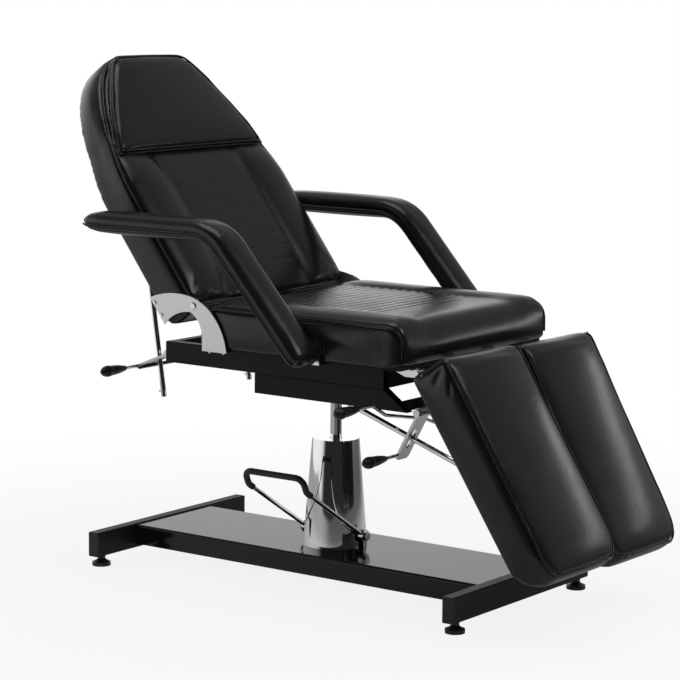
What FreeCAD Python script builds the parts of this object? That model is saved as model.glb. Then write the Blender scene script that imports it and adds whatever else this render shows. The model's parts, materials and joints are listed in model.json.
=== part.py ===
"""Pedicure chair: hydraulic column, reclining back, two leg rests, two swinging arms.

Millimetres, +Z up, floor at zero. The sitter faces -Y and the sitter's right is -X.
Each piece is written as one STEP file. The pads are made lying flat and then tilted about their hinge.
"""
import FreeCAD
import Part
import math
import os

Vector = FreeCAD.Vector
X_AXIS = Vector(1, 0, 0)
Y_AXIS = Vector(0, 1, 0)
Z_AXIS = Vector(0, 0, 1)

# Place of the column axis behind the origin, which is the middle of the whole chair
COLUMN_Y = 53.0

# Base
BASE_LENGTH = 1060.0
BASE_WIDTH = 570.0
BAR_HEIGHT = 60.0
BAR_DEPTH = 30.0
BAR_WALL = 2.5
TUBE_CORNER = 3.0
CAP_LIP = 4.0
CAP_PLUG = 18.0
FOOT_HEIGHT = 25.0
FOOT_DIAMETER = 45.0
FOOT_DISC = 9.0
FOOT_INSET = 30.0
STUD_DIAMETER = 10.0
NUT_HEIGHT = 8.0
NUT_WIDTH = 17.0
DECK_WIDTH = 285.0
DECK_SKIRT = 48.0
DECK_SHEET = 3.0
DECK_DROP = 3.0

# Lift
PUMP_DIAMETER = 60.0
PUMP_HEIGHT = 233.0
FLANGE_DIAMETER = 140.0
FLANGE_SHEET = 10.0
FLANGE_BOLT_CIRCLE = 112.0
BOLT_DIAMETER = 10.0
STUD_END = 2.5
COVER_TOP_DIAMETER = 112.0
COVER_BASE_DIAMETER = 153.0
COVER_HEIGHT = 256.0
COVER_SHEET = 1.5
PISTON_DIAMETER = 27.0
LIFT_STROKE = 130.0
STROKE_SPARE = 7.0
BORE_FLOOR = 48.0
RUNNING = 0.05
PEDAL_SHAFT_HEIGHT = 29.0
PEDAL_SHAFT_DIAMETER = 16.0
PEDAL_HALF = 84.0
PEDAL_ROD = 10.0
PEDAL_REACH = 226.0
PEDAL_RISE = 140.0
PEDAL_TOE_REACH = 15.0
PEDAL_TOE_RISE = 34.0
PEDAL_BEND = 20.0
PEDAL_EYE_DIAMETER = 30.0
PEDAL_EYE_WIDTH = 12.0
SLEEVE_DIAMETER = 15.0
SLEEVE_START = 0.93

# Seat and its frame, at the middle of the lift's stroke
SEAT_HEIGHT = 667.0
SEAT_LENGTH = 574.0
SEAT_WIDTH = 606.0
SEAT_THICKNESS = 96.0
SEAT_SETBACK = 176.0
SEAT_ROLL = 40.0
SEAT_PANEL = 380.0
SEAT_SWELL = 16.0
SEAT_CHANNELS = 14
SEAT_CHANNEL_PITCH = 27.0
SEAT_CHANNEL_START = 46.0
CHANNEL_RADIUS = 5.0
CHANNEL_DEPTH = 2.2
BOARD_SHEET = 12.0
BOARD_INSET = 16.0
BOARD_SHOW = 3.0
SOFT_GAP = 0.4
BEARER_SHEET = 6.0
BEARER_WIDTH = 40.0
RAIL_HEIGHT = 50.0
RAIL_WIDTH = 25.0
RAIL_WALL = 2.0
RAIL_SPREAD = 450.0
RAIL_REAR = 335.0
RAIL_FRONT = 295.0
CROSS_REAR = 40.0
CROSS_FRONT = -215.0
LOWER_GAP = 4.0
LOWER_HEIGHT = 48.0
LOWER_SPREAD = 400.0
LOWER_REAR = 88.0
LOWER_FRONT = 341.0
LOWER_SLANT = 67.0
LIFT_PLATE_LENGTH = 200.0
LIFT_PLATE_SHEET = 8.0
HUB_DIAMETER = 62.0
HUB_HEIGHT = 42.0
HUB_ROOF = 5.0

# Back
BACK_ANGLE = 52.8
BACK_HINGE_Y = 183.0
BACK_HINGE_DROP = 1.0
BACK_NARROWER = 3.0
BACK_LENGTH = 712.0
BACK_START = 2.0
BACK_REAR = 102.0
BACK_SEAM = 4.0
BACK_SHOULDER = 340.0
BACK_CROWN = 385.0
BACK_TAPER = 1.3
BACK_ROUND = 0.42
BACK_PANEL = 310.0
BACK_SWELL = 20.0
BACK_CHANNELS = 10
BACK_CHANNEL_PITCH = 37.0
BACK_CHANNEL_START = 48.0
PILLOW_START = 424.0
PILLOW_LENGTH = 258.0
PILLOW_BASE = 524.0
PILLOW_TOP = 262.0
PILLOW_FLARE = 14.0
PILLOW_THIN = 13.0
PILLOW_THICK = 26.0
PILLOW_CROWN = 13.0
BRACKET_SHEET = 3.0
BRACKET_LAP = 1.5
BRACKET_REACH = 88.0
BRACKET_AHEAD = 26.0
BRACKET_FOOT = 71.0
BRACKET_FLANGE = 74.0
SCREW_DIAMETER = 6.0
SCREW_HEAD = 11.0
SCREW_LENGTH = 42.0
KNUCKLE = 17.0
HINGE_PIN_DIAMETER = 10.0

# Leg rests
LEG_ANGLES = {"right": 56.5, "left": 59.8}
LEG_HINGE_DROP = 8.0
LEG_HINGE_AHEAD = 2.0
LEG_WIDTH = 300.0
LEG_GAP = 10.0
LEG_LENGTH = 536.0
LEG_START = 8.0
LEG_LIFT = 15.0
LEG_THICKNESS_TOP = 107.0
LEG_THICKNESS_END = 96.0
LEG_CROWN = 12.0
LEG_CORNER = 58.0
LEG_ROLL = 70.0
LEG_STRAP_SPREAD = 150.0
LEG_STRAP_LENGTH = 90.0
STRAP_IRON = 26.0
HINGE_EYE = 18.0
LEG_PIN_DIAMETER = 8.0

# Sliding rods and jam locks
ROD_X = 165.0
ROD_DIAMETER = 13.0
ROD_LENGTH = 402.0
ROD_EYE = 22.0
ROD_EYE_WIDTH = 14.0
ROD_PIN_DIAMETER = 8.0
ROD_STAND_OFF = 25.0
BACK_ROD_ALONG = 280.0
LEG_ROD_ALONG = 272.0
EAR_SHEET = 4.0
JAM_SHEET = 6.0
JAM_WIDTH = 46.0
JAM_BARREL = 22.0
JAM_PIN_DIAMETER = 12.0
JAM_SLOT_PLAY = 1.5
JAM_LUG_SHEET = 6.0
BACK_JAM_REACH = 25.0
BACK_JAM_DROP = 37.0
BACK_JAM_LENGTH = 118.0
BACK_JAM_SLOPE = -22.0
BACK_JAM_CROSS = 49.5
LEG_JAM_AHEAD = 23.0
LEG_JAM_RISE = 1.0
LEG_JAM_LENGTH = 128.0
LEG_JAM_SLOPE = -61.6
LEG_JAM_CROSS = 71.0
HANDLE_ROD = 8.0
GRIP_DIAMETER = 24.0
GRIP_LENGTH = 85.0
GRIP_NECK = 45.0
HANDLE_BEND = 20.0

# Arms
ARM_GAP = 11.0
ARM_WIDTH = 96.0
ARM_THICKNESS = 50.0
ARM_RISE = 210.0
ARM_RUN = 381.0
ARM_DROP_RUN = 372.0
ARM_CORNER_Y = 64.0
ARM_SLOPE = 48.0
ARM_BEND = 112.0
ARM_TIP = 0.62
ARM_CORE_WIDTH = 44.0
ARM_CORE_SHEET = 10.0
ARM_PIVOT_DOWN = 338.0
ARM_PIN_DIAMETER = 12.0
ARM_BARREL = 28.0
ARM_DISC = 48.0

# Levels and places that follow
BAR_TOP = FOOT_HEIGHT + BAR_HEIGHT
DECK_TOP = BAR_TOP - DECK_DROP
BAR_Y = BASE_LENGTH / 2 - BAR_DEPTH / 2
PAD_BOTTOM = SEAT_HEIGHT - SEAT_THICKNESS
BOARD_BOTTOM = PAD_BOTTOM - BOARD_SHOW
RAIL_TOP = BOARD_BOTTOM - BEARER_SHEET
RAIL_BOTTOM = RAIL_TOP - RAIL_HEIGHT
LOWER_TOP = RAIL_BOTTOM - LOWER_GAP
LOWER_BOTTOM = LOWER_TOP - LOWER_HEIGHT
SEAT_REAR = SEAT_SETBACK
SEAT_FRONT = SEAT_SETBACK - SEAT_LENGTH
RAIL_X = RAIL_SPREAD / 2 - RAIL_WIDTH / 2
LOWER_X = LOWER_SPREAD / 2 - RAIL_WIDTH / 2
BACK_HINGE = Vector(0, BACK_HINGE_Y, SEAT_HEIGHT - BACK_HINGE_DROP)
LEG_HINGE = Vector(0, SEAT_FRONT - LEG_HINGE_AHEAD, BOARD_BOTTOM - LEG_HINGE_DROP)
LEG_X = LEG_GAP / 2 + LEG_WIDTH / 2
BACK_JAM = Vector(0, RAIL_REAR + BACK_JAM_REACH, RAIL_TOP - BACK_JAM_DROP)
LEG_JAM = Vector(0, -LOWER_FRONT - LEG_JAM_AHEAD, LOWER_BOTTOM + LEG_JAM_RISE)
PEDAL_Z = DECK_TOP + PEDAL_SHAFT_HEIGHT
BACK_WIDTH = SEAT_WIDTH - 2 * BACK_NARROWER
BRACKET_X = SEAT_WIDTH / 2 - BRACKET_LAP
ARM_X = SEAT_WIDTH / 2 + ARM_GAP + ARM_WIDTH / 2
ARM_TOP = SEAT_HEIGHT + ARM_RISE


def block(x0, x1, y0, y1, z0, z1):
    return Part.makeBox(x1 - x0, y1 - y0, z1 - z0, Vector(x0, y0, z0))


def post(x, y, z0, z1, diameter):
    return Part.makeCylinder(diameter / 2, z1 - z0, Vector(x, y, z0), Z_AXIS)


def pin_x(x0, x1, y, z, diameter):
    return Part.makeCylinder(diameter / 2, x1 - x0, Vector(x0, y, z), X_AXIS)


def round_long(bar, radius):
    """Rounds the edges that run a bar's full length, as on drawn tube."""
    longest = max(edge.Length for edge in bar.Edges)
    return bar.makeFillet(radius, [edge for edge in bar.Edges if edge.Length > longest - 0.01])


def outline(place, start, *steps):
    """Closed wire. A step is the end of a line, or a pair: a point on an arc and the arc's end."""
    edges = []
    here = start
    for step in steps:
        if isinstance(step[0], tuple):
            via, end = step
            edges.append(Part.Arc(place(*here), place(*via), place(*end)).toShape())
        else:
            end = step
            edges.append(Part.LineSegment(place(*here), place(*end)).toShape())
        here = end
    if here != start:
        edges.append(Part.LineSegment(place(*here), place(*start)).toShape())
    return Part.Wire(edges)


def side_plate(x0, x1, start, *steps):
    """A plate in the YZ plane between two X values."""
    face = Part.Face(outline(lambda y, z: Vector(x0, y, z), start, *steps))
    return face.extrude(X_AXIS * (x1 - x0))


def hexagon(centre, axis, across, height):
    """A hexagon prism, for nuts and bolt heads."""
    corner = across / math.sqrt(3)
    turns = [k * math.pi / 3 for k in range(7)]
    points = [Vector(corner * math.cos(turn), corner * math.sin(turn), 0) for turn in turns]
    prism = Part.Face(Part.makePolygon(points)).extrude(Z_AXIS * height)
    prism.Placement = FreeCAD.Placement(centre, FreeCAD.Rotation(Z_AXIS, axis))
    return prism


def bent_path(points, bend):
    """Straight runs joined by tangent arcs of one radius."""
    edges = []
    start = points[0]
    for before, corner, after in zip(points, points[1:], points[2:]):
        back = (before - corner).normalize()
        ahead = (after - corner).normalize()
        half = back.getAngle(ahead) / 2
        reach = bend / math.tan(half)
        middle = corner + (back + ahead).normalize() * (bend / math.sin(half) - bend)
        edges.append(Part.LineSegment(start, corner + back * reach).toShape())
        edges.append(Part.Arc(corner + back * reach, middle, corner + ahead * reach).toShape())
        start = corner + ahead * reach
    edges.append(Part.LineSegment(start, points[-1]).toShape())
    return Part.Wire(edges)


def rod_along(path, diameter):
    first = path.OrderedEdges[0]
    centre = first.valueAt(first.FirstParameter)
    ring = Part.Wire(Part.makeCircle(diameter / 2, centre, first.tangentAt(first.FirstParameter)))
    return path.makePipeShell([ring], True, False)


def fuse(first, *others):
    return first.fuse(list(others)).removeSplitter()


def both_sides(shape):
    """The shape and its mirror image across the middle of the chair."""
    return [shape, shape.mirror(Vector(0, 0, 0), X_AXIS)]


def tilt(shape, hinge, degrees):
    """Turns a shape made lying flat about its hinge line, which is then moved to its place."""
    turned = shape.copy()
    turned.rotate(Vector(0, 0, 0), X_AXIS, degrees)
    turned.translate(hinge)
    return turned


def tilted(hinge, degrees, along, out):
    """The chair's own Y and Z of a point given along a tilted piece and out of its face."""
    turn = math.radians(degrees)
    y = along * math.cos(turn) - out * math.sin(turn)
    z = along * math.sin(turn) + out * math.cos(turn)
    return (hinge.y + y, hinge.z + z)


def save(name, *shapes):
    moved = []
    for shape in shapes:
        for solid in shape.Solids:
            copy = solid.copy()
            copy.translate(Vector(0, COLUMN_Y, 0))
            moved.append(copy)
    body = moved[0] if len(moved) == 1 else Part.makeCompound(moved)
    if not body.isValid():
        print("not valid:", name)
    body.exportStep("parts/" + name + ".step")
    BUILT.append((name, body))


BUILT = []
os.makedirs("parts", exist_ok=True)


# Base: two foot bars, the deck between them, feet
def foot_bar(y):
    half = BASE_WIDTH / 2 - CAP_LIP
    low = y - BAR_DEPTH / 2
    high = y + BAR_DEPTH / 2
    tube = round_long(block(-half, half, low, high, FOOT_HEIGHT, BAR_TOP), TUBE_CORNER)
    bore = block(-half, half, low + BAR_WALL, high - BAR_WALL, FOOT_HEIGHT + BAR_WALL, BAR_TOP - BAR_WALL)
    bar = tube.cut(bore)
    for x in foot_places():
        bar = bar.cut(post(x, y, FOOT_HEIGHT, FOOT_HEIGHT + BAR_WALL, STUD_DIAMETER + 4 * RUNNING))
    return bar


def foot_places():
    reach = BASE_WIDTH / 2 - FOOT_INSET
    return (-reach, reach)


def end_cap(y):
    half = BASE_WIDTH / 2
    bar = block(0, half, y - BAR_DEPTH / 2, y + BAR_DEPTH / 2, FOOT_HEIGHT, BAR_TOP)
    lip = round_long(bar, TUBE_CORNER).cut(block(0, half - CAP_LIP, y - BAR_DEPTH, y + BAR_DEPTH, 0, BAR_TOP))
    rounded = lip.makeFillet(CAP_LIP * 0.5, [e for e in lip.Edges if e.BoundBox.XMin > half - 0.01])
    inner = BAR_DEPTH / 2 - BAR_WALL
    plug = block(half - CAP_LIP - CAP_PLUG, half - CAP_LIP, y - inner, y + inner,
                 FOOT_HEIGHT + BAR_WALL, BAR_TOP - BAR_WALL)
    return fuse(rounded, plug)


def foot(x, y):
    """A moulded disc with a chamfered rim on a threaded stud."""
    disc = post(x, y, 0, FOOT_DISC, FOOT_DIAMETER)
    collar = Part.makeCone(FOOT_DIAMETER / 2 - 3, NUT_WIDTH / 2, FOOT_HEIGHT - NUT_HEIGHT - FOOT_DISC,
                           Vector(x, y, FOOT_DISC), Z_AXIS)
    stud = post(x, y, FOOT_HEIGHT - NUT_HEIGHT, FOOT_HEIGHT + BAR_WALL + NUT_HEIGHT, STUD_DIAMETER)
    return fuse(disc, collar, stud)


def lock_nut(x, y):
    nut = hexagon(Vector(x, y, FOOT_HEIGHT - NUT_HEIGHT), Z_AXIS, NUT_WIDTH, NUT_HEIGHT)
    return nut.cut(post(x, y, FOOT_HEIGHT - NUT_HEIGHT, FOOT_HEIGHT, STUD_DIAMETER))


def deck():
    """A sheet folded down along both sides, open below and welded between the bars."""
    end = BASE_LENGTH / 2 - BAR_DEPTH
    half = DECK_WIDTH / 2
    pan = block(-half, half, -end, end, DECK_TOP - DECK_SKIRT, DECK_TOP)
    folds = [e for e in pan.Edges if e.BoundBox.ZMin > DECK_TOP - 0.01 and e.BoundBox.YLength > end]
    pan = pan.makeFillet(2 * DECK_SHEET, folds)
    inner = half - DECK_SHEET
    return pan.cut(block(-inner, inner, -end, end, DECK_TOP - DECK_SKIRT, DECK_TOP - DECK_SHEET))


def flange_bolt_places():
    reach = FLANGE_BOLT_CIRCLE / 2 * math.sqrt(0.5)
    return [(x, y) for x in (-reach, reach) for y in (-reach, reach)]


save("base_front_bar", foot_bar(-BAR_Y))
save("base_rear_bar", foot_bar(BAR_Y))
save("bar_end_caps", *[cap for y in (-BAR_Y, BAR_Y) for cap in both_sides(end_cap(y))])
save("base_deck", deck())
FOOT_SPOTS = [(x, y) for x in foot_places() for y in (-BAR_Y, BAR_Y)]
save("levelling_feet", *[foot(x, y) for x, y in FOOT_SPOTS], *[lock_nut(x, y) for x, y in FOOT_SPOTS])


# Lift: pump, cover, bolts, piston
PUMP_BOTTOM = DECK_TOP + FLANGE_SHEET
PUMP_TOP = DECK_TOP + FLANGE_SHEET + PUMP_HEIGHT
BORE_BOTTOM = PUMP_BOTTOM + BORE_FLOOR
PISTON_BOTTOM = BORE_BOTTOM + LIFT_STROKE / 2 + STROKE_SPARE
HUB_BOTTOM = LOWER_TOP - LIFT_PLATE_SHEET - HUB_HEIGHT
PISTON_TOP = LOWER_TOP - HUB_ROOF - RUNNING


def pump_body():
    flange = post(0, 0, DECK_TOP, PUMP_BOTTOM, FLANGE_DIAMETER)
    barrel = fuse(flange, post(0, 0, PUMP_BOTTOM, PUMP_TOP, PUMP_DIAMETER))
    barrel = barrel.cut(post(0, 0, BORE_BOTTOM, PUMP_TOP, PISTON_DIAMETER + 2 * RUNNING))
    half = PUMP_DIAMETER
    bore = PEDAL_SHAFT_DIAMETER / 2 + RUNNING
    shaft_bore = Part.makeCylinder(bore, 2 * half, Vector(0, -half, PEDAL_Z), Y_AXIS)
    barrel = barrel.cut(shaft_bore)
    for x, y in flange_bolt_places():
        barrel = barrel.cut(post(x, y, DECK_TOP, PUMP_BOTTOM, BOLT_DIAMETER))
    return barrel


def pump_cover():
    """A spun cone with a flat top, a piston hole, and two notches that clear the pedal shaft."""
    top = DECK_TOP + COVER_HEIGHT
    wide = COVER_BASE_DIAMETER / 2
    narrow = COVER_TOP_DIAMETER / 2
    hole = PISTON_DIAMETER / 2 + COVER_SHEET
    rim = outline(lambda r, z: Vector(r, 0, z),
                  (wide, DECK_TOP), (narrow, top), (hole, top), (hole, top - COVER_SHEET),
                  (narrow - COVER_SHEET, top - COVER_SHEET), (wide - COVER_SHEET, DECK_TOP))
    cone = Part.Face(rim).revolve(Vector(0, 0, 0), Z_AXIS, 360)
    room = PEDAL_SHAFT_DIAMETER / 2 + 2 * COVER_SHEET
    notch = fuse(block(-room, room, -wide, wide, DECK_TOP, PEDAL_Z),
                 Part.makeCylinder(room, 2 * wide, Vector(0, -wide, PEDAL_Z), Y_AXIS))
    return cone.cut(notch)


def flange_bolt(x, y):
    """A stud welded onto the deck, with the nut that clamps the flange."""
    stud = post(x, y, DECK_TOP, PUMP_BOTTOM + NUT_HEIGHT + STUD_END, BOLT_DIAMETER)
    return fuse(stud, hexagon(Vector(x, y, PUMP_BOTTOM), Z_AXIS, NUT_WIDTH, NUT_HEIGHT))


save("pump_body", pump_body())
save("pump_cover", pump_cover())
save("pump_bolts", *[flange_bolt(x, y) for x, y in flange_bolt_places()])
save("piston", post(0, 0, PISTON_BOTTOM, PISTON_TOP, PISTON_DIAMETER))


# Pump pedal: a loop of rod on a shaft across the pump, with a rubber sleeve on its toe
def pedal_path(start):
    """Half of the loop's route is mirrored in Y. The start is a share of the straight leg."""
    foot_end = Vector(-PEDAL_REACH * start, -PEDAL_HALF, PEDAL_Z + PEDAL_RISE * start)
    knee = Vector(-PEDAL_REACH, -PEDAL_HALF, PEDAL_Z + PEDAL_RISE)
    toe = Vector(-PEDAL_REACH - PEDAL_TOE_REACH, -PEDAL_HALF, PEDAL_Z + PEDAL_RISE + PEDAL_TOE_RISE)
    near = [foot_end, knee, toe]
    far = [Vector(p.x, -p.y, p.z) for p in reversed(near)]
    return bent_path(near + far, PEDAL_BEND)


def pedal_loop():
    clear = PEDAL_EYE_DIAMETER / 2 - 2
    start = clear / math.hypot(PEDAL_REACH, PEDAL_RISE)
    loop = rod_along(pedal_path(start), PEDAL_ROD)
    eyes = []
    for side in (-1, 1):
        y = side * PEDAL_HALF - PEDAL_EYE_WIDTH / 2
        eyes.append(Part.makeCylinder(PEDAL_EYE_DIAMETER / 2, PEDAL_EYE_WIDTH, Vector(0, y, PEDAL_Z), Y_AXIS))
    reach = 2 * PEDAL_HALF
    bore = Part.makeCylinder(PEDAL_SHAFT_DIAMETER / 2, 2 * reach, Vector(0, -reach, PEDAL_Z), Y_AXIS)
    return fuse(loop, *eyes).cut(bore)


def pedal_shaft():
    half = PEDAL_HALF + PEDAL_EYE_WIDTH / 2
    return Part.makeCylinder(PEDAL_SHAFT_DIAMETER / 2, 2 * half, Vector(0, -half, PEDAL_Z), Y_AXIS)


def pedal_bolt(side):
    end = side * (PEDAL_HALF + PEDAL_EYE_WIDTH / 2)
    return hexagon(Vector(0, end, PEDAL_Z), Y_AXIS * side, NUT_WIDTH + 2, NUT_HEIGHT * 0.75)


save("pedal_loop", pedal_loop())
save("pedal_sleeve", rod_along(pedal_path(SLEEVE_START), SLEEVE_DIAMETER).cut(
    rod_along(pedal_path(SLEEVE_START * 0.9), PEDAL_ROD)))
save("pedal_shaft", pedal_shaft())
save("pedal_bolts", pedal_bolt(-1), pedal_bolt(1))


# Swivel frame
def tube_y(x, y0, y1, z0, z1):
    """A rectangular tube along Y, one rail wide."""
    half = RAIL_WIDTH / 2
    bore = half - RAIL_WALL
    outer = round_long(block(x - half, x + half, y0, y1, z0, z1), TUBE_CORNER)
    return outer.cut(block(x - bore, x + bore, y0, y1, z0 + RAIL_WALL, z1 - RAIL_WALL))


def tube_x(half_length, y, z0, z1):
    """A rectangular tube along X, one rail deep."""
    half = RAIL_WIDTH / 2
    bore = half - RAIL_WALL
    outer = round_long(block(-half_length, half_length, y - half, y + half, z0, z1), TUBE_CORNER)
    return outer.cut(block(-half_length, half_length, y - bore, y + bore, z0 + RAIL_WALL, z1 - RAIL_WALL))


def lower_tube(x):
    """A tube whose front end is cut on a slant, longer at the bottom."""
    tube = tube_y(x, -LOWER_FRONT, LOWER_REAR, LOWER_BOTTOM, LOWER_TOP)
    wedge = side_plate(x - RAIL_WIDTH, x + RAIL_WIDTH, (-LOWER_FRONT, LOWER_BOTTOM),
                       (LOWER_SLANT - LOWER_FRONT, LOWER_TOP), (-LOWER_FRONT, LOWER_TOP))
    return tube.cut(wedge)


def swivel_hub():
    """A plate across the lower tubes with a blind socket under it for the piston."""
    half = LOWER_X - RAIL_WIDTH / 2
    long = LIFT_PLATE_LENGTH / 2
    plate = block(-half, half, -long, long, LOWER_TOP - LIFT_PLATE_SHEET, LOWER_TOP)
    socket = post(0, 0, HUB_BOTTOM, LOWER_TOP - LIFT_PLATE_SHEET, HUB_DIAMETER)
    ribs = []
    for side in (-1, 1):
        ribs.append(side_plate(-JAM_LUG_SHEET / 2, JAM_LUG_SHEET / 2,
                               (side * HUB_DIAMETER * 0.4, HUB_BOTTOM + 4),
                               (side * LIFT_PLATE_LENGTH * 0.45, LOWER_TOP - LIFT_PLATE_SHEET),
                               (side * HUB_DIAMETER * 0.4, LOWER_TOP - LIFT_PLATE_SHEET)))
    hub = fuse(plate, socket, *ribs)
    return hub.cut(post(0, 0, HUB_BOTTOM, LOWER_TOP - HUB_ROOF, PISTON_DIAMETER + 2 * RUNNING))


def spacer(x, y):
    half = RAIL_WIDTH / 2
    return block(x - half, x + half, y - half, y + half, LOWER_TOP, RAIL_BOTTOM)


def lock_bar():
    """The bar between the lower tubes' front ends that carries both leg locks."""
    half = LOWER_X - RAIL_WIDTH / 2
    front = -LOWER_FRONT + LOWER_SLANT * 0.2
    return block(-half, half, front, front + RAIL_WIDTH * 0.8, LOWER_BOTTOM, LOWER_BOTTOM + RAIL_WIDTH * 0.8)


save("seat_rails", *both_sides(tube_y(RAIL_X, -RAIL_FRONT, RAIL_REAR, RAIL_BOTTOM, RAIL_TOP)))
save("lower_tubes", *both_sides(lower_tube(LOWER_X)))
CROSS_PLACES = (-RAIL_FRONT + RAIL_WIDTH / 2, CROSS_FRONT, CROSS_REAR, RAIL_REAR - RAIL_WIDTH / 2)
save("cross_tubes", *[tube_x(RAIL_X - RAIL_WIDTH / 2, y, RAIL_BOTTOM, RAIL_TOP) for y in CROSS_PLACES])
save("frame_spacers", *[spacer(x, y) for x in (-LOWER_X, LOWER_X) for y in (CROSS_FRONT, CROSS_REAR)])
save("swivel_hub", swivel_hub())
save("leg_lock_bar", lock_bar())
save("seat_bearers", *[block(-RAIL_SPREAD / 2, RAIL_SPREAD / 2, y - BEARER_WIDTH / 2, y + BEARER_WIDTH / 2,
                             RAIL_TOP, BOARD_BOTTOM) for y in (CROSS_FRONT, CROSS_REAR)])


# Pads are lofts through slices that are made of lines and arcs
def panel_slice(y, half, low, seam, panel_half, panel, swell, tuck):
    """Flat underside, drawn-in sides, and a swelling bolster each side of a flat panel."""
    middle = (low + seam) / 2
    shoulder = (half + panel_half) / 2
    return outline(lambda x, z: Vector(x, y, z), (-half, low),
                   ((tuck - half, middle), (-half, seam)),
                   ((-shoulder, swell), (-panel_half, panel)),
                   (panel_half, panel),
                   ((shoulder, swell), (half, seam)),
                   ((half - tuck, middle), (half, low)))


def crown_slice(x0, y, half, flare, low, seam, crown, tuck):
    """Flat underside that may be wider than the seam, drawn-in sides and a crowned top."""
    middle = (low + seam) / 2
    side = half + flare / 2 - tuck
    return outline(lambda x, z: Vector(x0 + x, y, z), (-half - flare, low),
                   ((-side, middle), (-half, seam)),
                   ((0, seam + crown), (half, seam)),
                   ((side, middle), (half + flare, low)))


def channels(half, first, pitch, count, level):
    """Sewn lines across a flat panel, as shallow round cuts."""
    centre = level + CHANNEL_RADIUS - CHANNEL_DEPTH
    return [pin_x(-half, half, first + k * pitch, centre, 2 * CHANNEL_RADIUS) for k in range(count)]


def round_off(share):
    """How far a quarter circle of radius one has dropped at a share of its reach."""
    return 1 - math.sqrt(max(0.0, 1 - share * share))


def seat_pad():
    half = SEAT_WIDTH / 2
    slices = []
    for share in (0.97, 0.8, 0.55, 0.25, 0.0):
        y = SEAT_FRONT + SEAT_ROLL * (1 - share)
        drop = SEAT_ROLL * round_off(share)
        rise = SEAT_SWELL * (1 - share * share)
        edge = SEAT_HEIGHT - drop
        slices.append(panel_slice(y, half - 3 * share, PAD_BOTTOM + drop * 0.5, edge, SEAT_PANEL / 2,
                                  edge + rise * 0.5, edge + rise, 5))
    for back, ease in ((60.0, 0.0), (14.0, 0.5), (0.0, 1.0)):
        edge = SEAT_HEIGHT - 12 * ease
        rise = SEAT_SWELL * (1 - ease)
        slices.append(panel_slice(SEAT_REAR - back, half - 5 * ease, PAD_BOTTOM + 4 * ease, edge,
                                  SEAT_PANEL / 2, edge + rise * 0.5, edge + rise * 0.9 + 1, 5))
    pad = Part.makeLoft(slices, True, True)
    pad = pad.cut(seat_board(SOFT_GAP))
    first = SEAT_REAR - SEAT_CHANNEL_START - 20 - (SEAT_CHANNELS - 1) * SEAT_CHANNEL_PITCH
    return pad.cut(channels(SEAT_PANEL / 2 - CHANNEL_RADIUS, first, SEAT_CHANNEL_PITCH, SEAT_CHANNELS,
                            SEAT_HEIGHT + SEAT_SWELL * 0.5))


def seat_board(extra):
    half = SEAT_WIDTH / 2 - BOARD_INSET + extra
    return block(-half, half, SEAT_FRONT + BOARD_INSET - extra, SEAT_REAR - BOARD_INSET + extra,
                 BOARD_BOTTOM, BOARD_BOTTOM + BOARD_SHEET + extra)


save("seat_board", seat_board(0))
save("seat_pad", seat_pad())


# Back, made lying flat: Y runs up the back from the hinge and Z out of its face
BACK_END = BACK_START + BACK_LENGTH


def back_half(along):
    """Half the back's width: straight sides, then a taper that rounds over to the top."""
    share = max(0.0, along - BACK_SHOULDER) / BACK_CROWN
    return BACK_WIDTH / 2 * (1 - share ** BACK_TAPER) ** BACK_ROUND


def back_board(extra):
    """A plywood sheet with the pad's outline, set in from its edge."""
    ease = BOARD_INSET - extra
    low = BACK_START + ease
    high = BACK_END - ease
    rise = [BACK_SHOULDER + (high - BACK_SHOULDER) * k / 8 for k in range(9)]
    right = [(back_half(low) - ease, low)] + [(back_half(s) - ease, s) for s in rise]
    left = [(-x, s) for x, s in reversed(right)]
    rim = outline(lambda x, y: Vector(x, y, -BACK_REAR), *(right + left))
    return Part.Face(rim).extrude(Z_AXIS * (BOARD_SHEET + extra))


def back_pad():
    low = BOARD_SHOW - BACK_REAR
    seam = -BACK_SEAM
    slices = []
    swollen = [(0, 0.0), (BACK_LENGTH * 0.042, 0.6), (BACK_LENGTH * 0.112, 1.0), (BACK_SHOULDER, 1.0),
               (BACK_LENGTH * 0.54, 0.7), (BACK_LENGTH * 0.585, 0.05)]
    flat = [(BACK_LENGTH * share, 0.0) for share in (0.674, 0.765, 0.857, 0.92, 0.969, 1.0)]
    for along, swell in swollen + flat:
        half = back_half(BACK_START + along)
        edge = 9 if along in (0, BACK_LENGTH) else 0
        panel = min(BACK_PANEL / 2, half * 0.5)
        rim = seam - edge
        rise = BACK_SWELL * swell
        slices.append(panel_slice(BACK_START + along, half - edge * 0.6, low + edge * 0.5, rim, panel,
                                  rim + rise * 0.4, rim + rise + 0.5, 5))
    pad = Part.makeLoft(slices, True, True).cut(back_board(SOFT_GAP))
    for screw in back_screws(SOFT_GAP):
        pad = pad.cut(both_sides(screw))
    return pad.cut(channels(BACK_PANEL / 2 - CHANNEL_RADIUS, BACK_CHANNEL_START + 40, BACK_CHANNEL_PITCH,
                            BACK_CHANNELS - 2, seam + BACK_SWELL * 0.4))


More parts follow.
